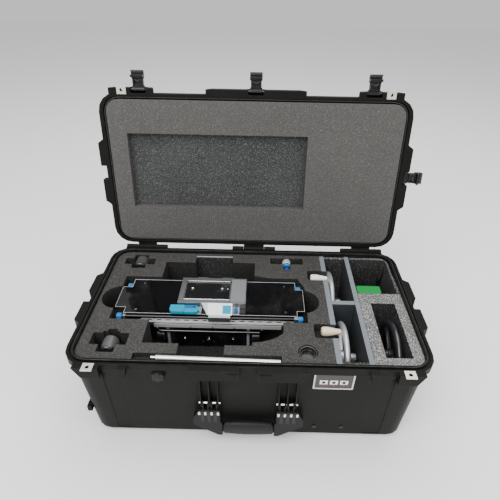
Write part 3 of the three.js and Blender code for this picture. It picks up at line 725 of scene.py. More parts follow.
SLOT_BLACK = Finish("slot_black", (0.006, 0.006, 0.006), 0.6, 0.1)
BLUE = Finish("blue_anodising", (0.0, 0.11, 0.34), 0.38, 0.1, metallic=0.1, depth=0.01, specular=0.2,
              worn=(0.2, 0.55, 0.8), wear=0.5)
CYAN = Finish("bright_cyan", (0.0, 0.25, 0.38), 0.45, 0.08, depth=0.01, specular=0.15, worn=(0.1, 0.5, 0.65),
              wear=0.3)
NAVY = Finish("deep_blue", (0.002, 0.035, 0.26), 0.34, 0.1, depth=0.01, specular=0.3)
WHEEL_SILVER = Finish("wheel_satin", (0.52, 0.53, 0.54), 0.34, 0.1, metallic=0.7, grain=700.0, depth=0.01,
                      worn=(0.9, 0.9, 0.9), wear=0.4)
WHEEL_BLACK = Finish("wheel_gloss_black", (0.02, 0.02, 0.023), 0.2, 0.08, coat=0.5, depth=0.008, dust=0.2)
GRIP_WHITE = Finish("grip_ivory", (0.78, 0.76, 0.72), 0.35, 0.08, depth=0.008, coat=0.2)
GRIP_CREAM = Finish("grip_cream", (0.72, 0.6, 0.42), 0.4, 0.1, grain=260.0, stretch=(0.08, 1.0, 1.0),
                    depth=0.02, coat=0.2)
KNOB_BLACK = Finish("knob_dark", (0.085, 0.085, 0.085), 0.34, 0.1, metallic=0.4, grain=700.0,
                    stretch=(1.0, 0.08, 1.0), depth=0.01, worn=(0.3, 0.3, 0.3), wear=0.5)
CAP_BLACK = Finish("cap_black", (0.01, 0.01, 0.011), 0.3, 0.1, coat=0.2, depth=0.01)
GREEN = Finish("case_green", (0.004, 0.2, 0.04), 0.6, 0.1, grain=1100.0, depth=0.05, specular=0.15)
LABEL_BROWN = Finish("label_brown", (0.03, 0.024, 0.02), 0.4, 0.1, depth=0.01, dust=0.2)
LABEL_WHITE = Finish("label_white", (0.85, 0.85, 0.83), 0.4, 0.05, depth=0.004)
LABEL_RED = Finish("label_red", (0.55, 0.03, 0.025), 0.4, 0.05, depth=0.004)
FLOOR = Finish("pale_floor", (0.9, 0.9, 0.9), 0.9, 0.04, specular=0.1, depth=0.0)


# ---- Geometry Nodes for what repeats ----


class Growth:
    """A geometry node tree with named inputs, ending in realized instances and a material."""

    _made: dict[str, "Growth"] = {}

    def __init__(self, name: str) -> None:
        """Starts a tree of that name."""
        self.tree = bpy.data.node_groups.new(name, "GeometryNodeTree")
        self.tree.interface.new_socket("Geometry", in_out="INPUT", socket_type="NodeSocketGeometry")
        self.inputs = self.tree.nodes.new("NodeGroupInput")
        Growth._made[name] = self

    def taking(self, name: str, kind: str) -> bpy.types.NodeSocket:
        """Adds a named input and returns its socket inside the tree."""
        self.tree.interface.new_socket(name, in_out="INPUT", socket_type=f"NodeSocket{kind}")
        return self.inputs.outputs[name]

    def node(self, kind: str, feeds: dict | None = None, **settings: object) -> bpy.types.Node:
        """Adds a node to the tree."""
        return add_node(self.tree, kind, feeds, **settings)

    def spread(self, points: bpy.types.NodeSocket, shape: bpy.types.NodeSocket,
               turn: bpy.types.NodeSocket, size: bpy.types.NodeSocket) -> None:
        """Ends the tree: the shape on each point, realized, with its material.

        Args:
            points: where the copies go.
            shape: the shape that is repeated.
            turn: each copy's rotation.
            size: each copy's scale.
        """
        copies = self.node("GeometryNodeInstanceOnPoints", {
            "Points": points, "Instance": shape, "Rotation": turn, "Scale": size})
        real = self.node("GeometryNodeRealizeInstances", {"Geometry": copies.outputs[0]})
        smooth = self.node("GeometryNodeSetShadeSmooth", {"Geometry": real.outputs[0], "Shade Smooth": False})
        dressed = self.node("GeometryNodeSetMaterial", {
            "Geometry": smooth.outputs[0], "Material": self.taking("Material", "Material")})
        self.tree.interface.new_socket("Geometry", in_out="OUTPUT", socket_type="NodeSocketGeometry")
        out = self.tree.nodes.new("NodeGroupOutput")
        self.tree.links.new(dressed.outputs[0], out.inputs[0])

    def grown(self, name: str, **values: object) -> bpy.types.Object:
        """Evaluates the tree into a plain mesh.

        Args:
            name: the new piece's name.
            values: the tree's inputs, with underscores for spaces.

        Returns:
            The piece, at the origin, with no modifier left.
        """
        host = bpy.data.objects.new(name, bpy.data.meshes.new(name))
        bpy.context.scene.collection.objects.link(host)
        grower = host.modifiers.new(self.tree.name, "NODES")
        grower.node_group = self.tree
        for item in self.tree.interface.items_tree:
            key = item.name.replace(" ", "_")
            if item.in_out == "INPUT" and key in values:
                grower[item.identifier] = values[key]
        return applied(host)


def row_growth() -> Growth:
    """A straight row of small blocks, as ribs, ticks and slots are."""
    done = Growth._made.get("block_row")
    if done:
        return done
    growth = Growth("block_row")
    line = growth.node("GeometryNodeMeshLine", {
        "Count": growth.taking("Count", "Int"), "Start Location": growth.taking("Start", "Vector"),
        "Offset": growth.taking("Step", "Vector")})
    block = growth.node("GeometryNodeMeshCube", {"Size": growth.taking("Size", "Vector")})
    turn = growth.taking("Turn", "Vector")
    same = growth.node("ShaderNodeCombineXYZ", {0: 1.0, 1: 1.0, 2: 1.0})
    growth.spread(line.outputs[0], block.outputs[0], turn, same.outputs[0])
    return growth


def ring_growth() -> Growth:
    """Ridges round a turned piece, as knurling and grip ribs are."""
    done = Growth._made.get("ridge_ring")
    if done:
        return done
    growth = Growth("ridge_ring")
    radius = growth.taking("Radius", "Float")
    circle = growth.node("GeometryNodeMeshCircle", {"Vertices": growth.taking("Count", "Int"), "Radius": radius})
    block = growth.node("GeometryNodeMeshCube", {"Size": growth.taking("Size", "Vector")})
    place = growth.node("GeometryNodeInputPosition")
    angle = growth.node("ShaderNodeSeparateXYZ", {0: place.outputs[0]})
    swing = growth.node("ShaderNodeMath", {0: angle.outputs[1], 1: angle.outputs[0]}, operation="ARCTAN2")
    turn = growth.node("ShaderNodeCombineXYZ", {2: swing.outputs[0]})
    same = growth.node("ShaderNodeCombineXYZ", {0: 1.0, 1: 1.0, 2: 1.0})
    growth.spread(circle.outputs[0], block.outputs[0], turn.outputs[0], same.outputs[0])
    return growth


def screw_growth() -> Growth:
    """Round screw heads with a six-sided recess, in a straight row."""
    done = Growth._made.get("screw_row")
    if done:
        return done
    growth = Growth("screw_row")
    radius = growth.taking("Radius", "Float")
    height = growth.taking("Height", "Float")
    head = growth.node("GeometryNodeMeshCylinder", {"Vertices": 20, "Radius": radius, "Depth": height})
    inner = growth.node("ShaderNodeMath", {0: radius, 1: 0.5}, operation="MULTIPLY")
    key = growth.node("GeometryNodeMeshCylinder", {"Vertices": 6, "Radius": inner.outputs[0], "Depth": height})
    lifted = growth.node("ShaderNodeCombineXYZ", {2: height})
    half = growth.node("ShaderNodeVectorMath", {0: lifted.outputs[0], 1: (0.5, 0.5, 0.5)},
                       operation="MULTIPLY")
    raised = growth.node("GeometryNodeTransform", {"Geometry": key.outputs[0], "Translation": half.outputs[0]})
    cut = growth.node("GeometryNodeMeshBoolean", {0: head.outputs[0], 1: raised.outputs[0]},
                      operation="DIFFERENCE")
    line = growth.node("GeometryNodeMeshLine", {
        "Count": growth.taking("Count", "Int"), "Start Location": growth.taking("Start", "Vector"),
        "Offset": growth.taking("Step", "Vector")})
    same = growth.node("ShaderNodeCombineXYZ", {0: 1.0, 1: 1.0, 2: 1.0})
    growth.spread(line.outputs[0], cut.outputs[0], growth.taking("Turn", "Vector"), same.outputs[0])
    return growth


def metres(*values: float) -> tuple[float, ...]:
    """Millimetres as metres."""
    return tuple(value * MM for value in values)


def block_row(name: str, finish: Finish, count: int, start: Point, step: Point, size: Point,
              turn: Point = (0.0, 0.0, 0.0)) -> bpy.types.Object:
    """A row of equal blocks.

    Args:
        name: the piece's name.
        finish: what they are made of.
        count: how many there are.
        start: the first block's centre, in millimetres.
        step: from one to the next.
        size: each block's sizes.
        turn: each block's rotation in radians.

    Returns:
        The row as one piece.
    """
    return row_growth().grown(name, Count=count, Start=metres(*start), Step=metres(*step),
                              Size=metres(*size), Turn=turn, Material=finish.material())


def screw_row(name: str, finish: Finish, count: int, start: Point, step: Point, radius: float,
              height: float, turn: Point = (0.0, 0.0, 0.0)) -> bpy.types.Object:
    """A row of screw heads whose tops face +Z before they are turned.

    Args:
        name: the piece's name.
        finish: what they are made of.
        count: how many there are.
        start: the first head's centre, in millimetres.
        step: from one to the next.
        radius: a head's radius.
        height: a head's height.
        turn: each head's rotation in radians.

    Returns:
        The row as one piece.
    """
    return screw_growth().grown(name, Count=count, Start=metres(*start), Step=metres(*step),
                                Radius=radius * MM, Height=height * MM, Turn=turn,
                                Material=finish.material())


def ridge_ring(name: str, finish: Finish, count: int, radius: float, size: Point, axis: Axis,
               centre: Vector) -> bpy.types.Object:
    """Ridges standing round an axis.

    Args:
        name: the piece's name.
        finish: what they are made of.
        count: how many there are.
        radius: how far their centres stand from the axis, in millimetres.
        size: each ridge's sizes: outward, round and along the axis.
        axis: the axis they stand round.
        centre: the ring's centre.

    Returns:
        The ring as one piece.
    """
    ring = ring_growth().grown(name, Count=count, Radius=radius * MM, Size=metres(*size),
                               Material=finish.material())
    turns = {Axis.X: Matrix.Rotation(math.pi / 2, 4, "Y"), Axis.Y: Matrix.Rotation(-math.pi / 2, 4, "X"),
             Axis.Z: Matrix.Identity(4)}
    ring.data.transform(Matrix.Translation(centre * MM) @ turns[axis])
    return ring


# ---- Placing finished pieces ----


class Bench:
    """Puts finished pieces on their bodies and reports each."""

    def __init__(self, body: str) -> None:
        """Works on one body of the frame."""
        self.body = body

    def place(self, piece: bpy.types.Object, finish: Finish, slot: str, *nodes: str) -> bpy.types.Object:
        """Dresses a piece and makes it ride.

        Args:
            piece: the finished object.
            finish: what it is made of.
            slot: the record's material slot; not used.
            nodes: the CAD nodes it stands for.

        Returns:
            The piece.
        """
        piece.data.materials.clear()
        piece.data.materials.append(finish.material())
        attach(piece, self.body)
        if nodes:
            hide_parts(*nodes)
        LOG.info("%s rides on %s with %d faces", piece.name, self.body, len(piece.data.polygons))
        return piece

    def refined(self, node: str, finish: Finish, slot: str, soften: float, steps: int = 2) -> bpy.types.Object:
        """A CAD node's own shape with rounded edges, in place of the node.

        Args:
            node: the CAD node's name.
            finish: what it is made of.
            slot: the record's material slot.
            soften: the width of the rounding in millimetres.
            steps: how many flats make the rounding.

        Returns:
            The piece.
        """
        piece = Form.of_node(node).made(f"{node}_fine", soften, steps)
        return self.place(piece, finish, slot, node)


# ---- The case's base ----


@dataclass
class CaseBase:
    """The base shell with its fittings."""

    soften: float = 0.5
    label_frame: float = 3.2
    label_proud: float = 0.5
    window: Pair = (16.0, 12.5)
    window_step: float = 20.5
    rivets: tuple[Pair, ...] = ((147.0, 40.0), (208.0, 40.0))
    bench: Bench = field(default_factory=lambda: Bench("case_base"))

    def build(self) -> None:
        """Makes the shell and everything fastened to it."""
        self.bench.refined("base_shell", CASE, "case_shell", self.soften)
        for side in Side:
            self.bench.refined(f"hasp_plate_base_{side.word}", HASP_STEEL, "hasp_steel", 0.35)
            self.handle_pin(side)
        for span in ("left", "centre", "right"):
            self.hinge_pin(span)
        self.label()
        self.wall_screws()
        self.seal()

    def wall(self, height: float) -> float:
        """How far forward the front wall stands at a height."""
        label = Room.of("label_plate")
        lean = (label.high.y - label.low.y - 1.4) / label.size.z
        return label.high.y - 0.05 + lean * (label.low.z - height)

    def hinge_pin(self, span: str) -> None:
        """One steel pin through a hinge."""
        room = Room.of(f"hinge_pin_{span}")
        form = Form().rod(Axis.X, (room.low.x, room.high.x), (room.centre.y, room.centre.z), room.size.z / 2)
        self.bench.place(form.made(f"hinge_pin_{span}_fine", 0.3), STEEL, "steel", f"hinge_pin_{span}")

    def handle_pin(self, side: Side) -> None:
        """The bright pin that one end of the front handle turns on."""
        node = f"handle_pin_{side.word}"
        room = Room.of(node)
        form = Form().rod(Axis.X, (room.low.x, room.high.x), (room.centre.y, room.centre.z), room.size.z / 2)
        self.bench.place(form.made(f"{node}_fine", 0.3), BRIGHT_STEEL, "steel", node)

    def label(self) -> None:
        """The printed plate: a pale rim on three sides and three plain windows with a dot in each."""
        room = Room.of("label_plate")
        low, high = room.low, room.high
        self.bench.place(self.on_wall([(low.x, high.x, low.z, high.z)], 0.0, "label_ground"),
                         LABEL_BROWN, "label", "label_plate")
        rim = self.label_frame
        bars = [(low.x, low.x + rim, low.z, high.z), (high.x - rim, high.x, low.z, high.z),
                (low.x + rim, high.x - rim, low.z, low.z + rim)]
        proud = self.label_proud
        self.bench.place(self.on_wall(bars, proud, "label_rim"), PALE_SILVER, "label")
        middle = room.centre
        across = [middle.x + k * self.window_step for k in (-1, 0, 1)]
        half_w, half_h = self.window[0] / 2, self.window[1] / 2
        up = middle.z - 1
        panes = [(x - half_w, x + half_w, up - half_h, up + half_h) for x in across]
        self.bench.place(self.on_wall(panes, proud, "label_windows"), LABEL_WHITE, "label")
        dots = [(x - 3.2, x + 3.2, up - 3.6, up + 3.6) for x in across]
        self.bench.place(self.on_wall(dots, proud + 0.3, "label_dots"), SLOT_BLACK, "label")
        marks = [(x - 1.3, x + 1.3, up - 11.5, up - 9) for x in across]
        self.bench.place(self.on_wall(marks, proud, "label_marks"), LABEL_RED, "label")

    def on_wall(self, plates: Iterable[tuple[float, float, float, float]], proud: float,
                name: str) -> bpy.types.Object:
        """Thin plates that lie on the leaning front wall.

        Args:
            plates: the left, right, bottom and top of each.
            proud: how far their faces stand in front of the label's own face.
            name: the piece's name.

        Returns:
            The plates as one piece.
        """
        form = Form()
        for x0, x1, z0, z1 in plates:
            shape = [(self.wall(z0) - 1.7 - proud, z0), (self.wall(z0) - 0.4, z0),
                     (self.wall(z1) - 0.4, z1), (self.wall(z1) - 1.7 - proud, z1)]
            form.prism(shape, Axis.X, (x0, x1))
        return form.made(name, 0.15)

    def wall_screws(self) -> None:
        """The two screw heads low on the front wall."""
        (x0, z0), (x1, _) = self.rivets
        row = screw_row("front_wall_screws", STEEL, 2, (x0, self.wall(z0) - 0.6, z0), (x1 - x0, 0, 0),
                        4.0, 2.2, (math.pi / 2, 0.0, 0.0))
        self.bench.place(row, CAP_BLACK, "steel")

    def seal(self) -> None:
        """A thin lighter bead along the top of the rim's sealing ridge: a painted highlight."""
        half = Vector((360.6, 186.1))
        outer = rectangle((-half.x, half.x), (-half.y, half.y), 44.0, 10)
        path = [Vector((x, y, 254.35)) for x, y in outer]
        form = Form()
        flat_tube(form, path, 0.45)
        # Painted highlight along the ridge's top.
        self.bench.place(form.made("rim_ridge_line"), CASE_RIDGE_HIGHLIGHT, "case_shell")


def flat_tube(form: Form, path: Sequence[Vector], radius: float, sides: int = 8) -> Form:
    """Adds a closed round bead that follows a level outline.

    Args:
        form: the form it is added to.
        path: the outline's points in order.
        radius: the bead's radius.
        sides: how many flats make it round.

    Returns:
        The form.
    """
    rings = []
    for k, here in enumerate(path):
        along = (path[(k + 1) % len(path)] - path[k - 1]).normalized()
        across = along.cross(Vector((0, 0, 1))).normalized()
        rings.append([
            form.mesh.verts.new(here + radius * (
                across * math.cos(2 * math.pi * i / sides) + Vector((0, 0, 1)) * math.sin(2 * math.pi * i / sides)))
            for i in range(sides)])
    faces = []
    for k, one in enumerate(rings):
        two = rings[(k + 1) % len(rings)]
        for i in range(sides):
            nxt = (i + 1) % sides
            faces.append(form.mesh.faces.new((one[i], one[nxt], two[nxt], two[i])))
    bmesh.ops.recalc_face_normals(form.mesh, faces=faces)
    return form


@dataclass
class ValveKnob:
    """The purge valve's notched knob."""

    bench: Bench = field(default_factory=lambda: Bench("valve_knob"))

    def build(self) -> None:
        """Makes the knob with its raised middle and slot."""
        self.bench.refined("valve_knob", RUBBER, "rubber", 0.5)
        room = Room.of("valve_knob")
        front = room.low.y
        boss = Form().turned([(front - 0.9, 0), (front - 0.9, 6.4), (front + 0.5, 7.4), (front + 0.5, 0)],
                             Axis.Y, (room.centre.x, room.centre.z), 36)
        self.bench.place(boss.made("valve_boss", 0.3), RUBBER, "rubber")
        slot = block_row("valve_slot", SLOT_BLACK, 1, (room.centre.x, front - 0.95, room.centre.z),
                         (0, 0, 0), (9.5, 0.5, 1.8), (0.0, 0.6, 0.0))
        self.bench.place(slot, SLOT_BLACK, "rubber")


# ---- Handles ----


@dataclass
class FrontHandle:
    """The folding handle with its ribbed grip."""

    ribs: int = 13
    barrel: float = 1.6
    # The size, the places across and the height of the bright blocks that paint glints on the arms.
    plate: Point = (4.4, 1.2, 9.5)
    plates: tuple[float, ...] = (64.0, 77.5, 91.0, 104.0)
    plates_z: float = 111.0
    # Places across of the dark sheets that paint the shade in the arms' channels.
    webs: tuple[float, ...] = (70.5, 84.0, 97.5)
    bench: Bench = field(default_factory=lambda: Bench("front_handle"))

    def build(self) -> None:
        """Makes the frame, the grip with its ribs, bright steel blocks on the arms that paint glints, and dark sheets
        between them that paint the shade in the arms' channels.
        """
        self.bench.refined("front_handle", HANDLE_BLACK, "case_shell", 0.9)
        self.grip()
        for side in Side:
            for k, x in enumerate(self.plates):
                self.plate_at(side, k, x)
            face = Room.of("front_handle").low.y
            # Painted shade: dark sheets in the channels between the bright blocks.
            webs = block_row(f"handle_web_{side.word}", SLOT_BLACK, len(self.webs),
                             (side.value * self.webs[0], face - 0.05, 98.0),
                             (side.value * (self.webs[1] - self.webs[0]), 0, 0), (6.5, 0.5, 34.0))
            self.bench.place(webs, SLOT_BLACK, "case_shell")

    def grip(self) -> None:
        """An oval barrel, fuller in the middle, with ribs round it."""
        room = Room.of("front_grip")
        low, high, centre = room.low.x, room.high.x, room.centre
        stations = 26
        form = Form()
        rings = []
        for k in range(stations + 1):
            t = k / stations
            swell = 1 - 0.16 * (2 * t - 1) ** 2 - (0.25 if k in (0, stations) else 0)
            half_y, half_z = room.size.y / 2 * swell, room.size.z / 2 * swell
            ring = []
            for i in range(32):
                angle = 2 * math.pi * i / 32
                c, s = math.cos(angle), math.sin(angle)
                y = centre.y + half_y * math.copysign(abs(c) ** 0.8, c)
                z = centre.z + half_z * math.copysign(abs(s) ** 0.8, s)
                ring.append(form.mesh.verts.new((low + (high - low) * t, y, z)))
            rings.append(ring)
        form.mesh.faces.new(rings[0])
        form.mesh.faces.new(rings[-1])
        for one, two in zip(rings, rings[1:]):
            for i in range(32):
                nxt = (i + 1) % 32
                form.mesh.faces.new((one[i], one[nxt], two[nxt], two[i]))
        bmesh.ops.recalc_face_normals(form.mesh, faces=form.mesh.faces)
        self.bench.place(form.made("front_grip_barrel"), RUBBER, "rubber", "front_grip")
        pitch = (high - low - 12) / (self.ribs - 1)
        ribs = oval_growth().grown(
            "front_grip_ribs", Count=self.ribs, Start=metres(low + 6, centre.y, centre.z),
            Step=metres(pitch, 0, 0), Size=metres(4.2, room.size.y * 0.5, room.size.z * 0.5),
            Material=RUBBER.material())
        self.bench.place(ribs, RUBBER, "rubber")

    def plate_at(self, side: Side, order: int, x: float) -> None:
        """One bright steel block on an arm: a painted glint."""
        room = Room.of("front_handle")
        plate = block_row(f"handle_plate_{side.word}_{order}", BRIGHT_STEEL, 1,
                          (side.value * x, room.low.y - 0.3, self.plates_z), (0, 0, 0), self.plate)
        self.bench.place(plate, BRIGHT_STEEL, "case_shell")


def oval_growth() -> Growth:
    """A row of thin oval discs along X, as the ribs of a barrel grip are."""
    done = Growth._made.get("oval_row")
    if done:
        return done
    growth = Growth("oval_row")
    line = growth.node("GeometryNodeMeshLine", {
        "Count": growth.taking("Count", "Int"), "Start Location": growth.taking("Start", "Vector"),
        "Offset": growth.taking("Step", "Vector")})
    size = growth.node("ShaderNodeSeparateXYZ", {0: growth.taking("Size", "Vector")})
    disc = growth.node("GeometryNodeMeshUVSphere", {"Segments": 28, "Rings": 10, "Radius": 1.0})
    half = growth.node("ShaderNodeMath", {0: size.outputs[0], 1: 0.5}, operation="MULTIPLY")
    grow = growth.node("ShaderNodeCombineXYZ", {0: half.outputs[0], 1: size.outputs[1], 2: size.outputs[2]})
    turn = growth.node("ShaderNodeCombineXYZ", {0: 0.0})
    growth.spread(line.outputs[0], disc.outputs[0], turn.outputs[0], grow.outputs[0])
    return growth


@dataclass
class SideHandle:
    """One folding handle on an end of the case."""

    side: Side

    def build(self) -> None:
        """Makes the handle with grooves in its bar."""
        node = f"side_handle_{self.side.word}"
        bench = Bench(node)
        bench.refined(node, HANDLE_BLACK, "case_shell", 0.9)
        room = Room.of(node)
        outer = room.high.x if self.side is Side.RIGHT else room.low.x
        row = block_row(f"{node}_ribs", RUBBER, 15, (outer - self.side.value * 0.2, -42, room.low.z + 10),
                        (0, 6, 0), (1.2, 2.6, 15.0))
        bench.place(row, RUBBER, "rubber")


# ---- Foam ----


@dataclass
class Foam:
    """The foam blocks and dividers in the base."""

    plate_x: Pair = (-150.0, -54.0)
    plate_y: Pair = (166.4, 169.4)
    bench: Bench = field(default_factory=lambda: Bench("case_base"))

    def build(self) -> None:
        """Makes every foam block, and the slab and the thin plate that stand in the bay."""
        self.bench.refined("main_foam", BASE_FOAM, "case_foam", 0.5)
        self.bench.refined("insert_foam", COARSE_FOAM, "case_foam", 0.6)
        self.bench.refined("bay_liner", COARSE_FOAM, "case_foam", 0.0)
        for name in ("left", "right", "cross"):
            self.bench.refined(f"divider_{name}", DIVIDER_GREY, "divider", 0.5)
        top = Room.of("main_foam").high.z
        (x0, x1), (y0, y1) = self.plate_x, self.plate_y
        plate = Form().box((x0, y1 - 1, top - 88), (x1, y1, top + 0.8))
        self.bench.place(plate.made("bay_plate", 0.2), PALE_SILVER, "label")
        slab = Form().box((x0, y0, top - 88), (x1, y1 - 1.2, top - 1.4))
        self.bench.place(slab.made("bay_slab", 0.4), COARSE_FOAM, "case_foam")


# ---- Lid ----


def lid_turn() -> Matrix:
    """Turns a place in the closed lid into its place in the open one, in millimetres."""
    joint = next(j for j in frame["joints"] if j["name"] == "lid_hinge")
    pivot = Vector(joint["pos_m"]) / MM
    opened = -math.radians(max(joint["range_deg"]))
    return Matrix.Translation(pivot) @ Matrix.Rotation(opened, 4, "X") @ Matrix.Translation(-pivot)


LID_RIM = 252.5


@dataclass
class Lid:
    """The open lid with its foam and seal."""

    recess_x: Pair = (-311.6, 126.6)
    recess_y: Pair = (-100.6, 89.6)
    recess_depth: float = 19.0
    seal_half: Pair = (360.2, 185.7)
    bench: Bench = field(default_factory=lambda: Bench("lid"))

    def build(self) -> None:
        """Makes the shell, the foam with its recess floor, the seal and the steel fittings."""
        self.bench.refined("lid_shell", CASE, "case_shell", 0.7)
        self.bench.refined("lid_foam", LID_FOAM, "lid_foam", 0.9, 3)
        self.recess_floor()
        self.gasket()
        for side in Side:
            self.bench.refined(f"hasp_plate_lid_{side.word}", HASP_STEEL, "hasp_steel", 0.35)
        for name in ("left", "centre", "right", "side"):
            self.bench.refined(f"latch_pin_{name}", BAR_STEEL, "steel", 0.2)

    def recess_floor(self) -> None:
        """The darker, coarser foam at the bottom of the lid's recess."""
        top = LID_RIM + self.recess_depth
        (x0, x1), (y0, y1) = self.recess_x, self.recess_y
        form = Form().box((x0, y0, top - 0.9), (x1, y1, top - 0.1)).moved(lid_turn())
        self.bench.place(form.made("lid_recess_floor"), RECESS_FOAM, "lid_foam")

    def gasket(self) -> None:
        """The rubber seal that follows the lid's rim."""
        x, y = self.seal_half
        path = [Vector((u, v, LID_RIM + 4.8)) for u, v in rectangle((-x, x), (-y, y), 44.0, 12)]
        form = flat_tube(Form(), path, 2.2, 14).moved(lid_turn())
        self.bench.place(form.made("lid_seal"), GASKET, "rubber", "lid_gasket")


@dataclass
class Latch:
    """One latch that stands out from the open lid."""

    name: str
    reach: float = 42.0
    half: float = 14.5
    ribs: int = 5
    arm: float = -5.6

    def build(self) -> None:
        """Makes the latch's body and the details on its inner face; the lighter grey of the tip is a painted
        highlight.
        """
        node = f"latch_{self.name}"
        bench = Bench(node)
        bench.refined(node, LATCH_BLACK, "case_shell", 0.7)
        turn = self.turn()
        # Painted highlight: the tip in a lighter grey.
        tip = Form().box((-self.half + 1, -self.reach + 0.4, -4.7), (self.half - 1, -self.reach + 5, -1.6))
        bench.place(tip.moved(turn).made(f"{node}_tip", 0.6), LATCH_GREY, "case_shell")
        arms = Form()
        for side in Side:
            near, far = sorted((side.value * 8.0, side.value * 11.8))
            arms.box((near, -27, self.arm), (far, -9, -1.2))
        arms.box((-8, -12, -4.4), (8, -9, -1.2))
        bench.place(arms.moved(turn).made(f"{node}_arms", 0.7), LATCH_BLACK, "case_shell")
        chevron = [(-9, -21), (0, -17.5), (9, -21), (9, -24), (0, -20.5), (-9, -24)]
        ridge = Form().prism(chevron, Axis.Z, (-3.4, -1))
        bench.place(ridge.moved(turn).made(f"{node}_chevron", 0.5), LATCH_GREY, "case_shell")
        ribs = block_row(f"{node}_ribs", LATCH_BLACK, self.ribs, (0, -self.reach + 9, 6.2), (0, 3.2, 0),
                         (2 * self.half - 5, 1.3, 1.2))
        ribs.data.transform(Matrix.Scale(1 / MM, 4))
        ribs.data.transform(Matrix.Scale(MM, 4) @ turn)
        bench.place(ribs, LATCH_BLACK, "case_shell")
        self.backing()

    def backing(self) -> None:
        """The dark land on the lid that closes the gap behind the latch's pin."""
        land = Form().box((-21.5, -4.5, 6.9), (21.5, 9.5, 8.3)).moved(self.turn())
        Bench("lid").place(land.made(f"latch_{self.name}_land", 0.4), CASE, "case_shell")

    def turn(self) -> Matrix:
        """From the latch's own place, reaching along -Y from its pin, to its place in the frame."""
        joint = next(j for j in frame["joints"] if j["name"] == f"latch_{self.name}_hinge")
        pivot = lid_turn().inverted() @ (Vector(joint["pos_m"]) / MM)
        about = Matrix.Rotation(math.pi / 2 if self.name == "side" else 0, 4, "Z")
        return lid_turn() @ Matrix.Translation(pivot) @ about


# ---- Slider ----


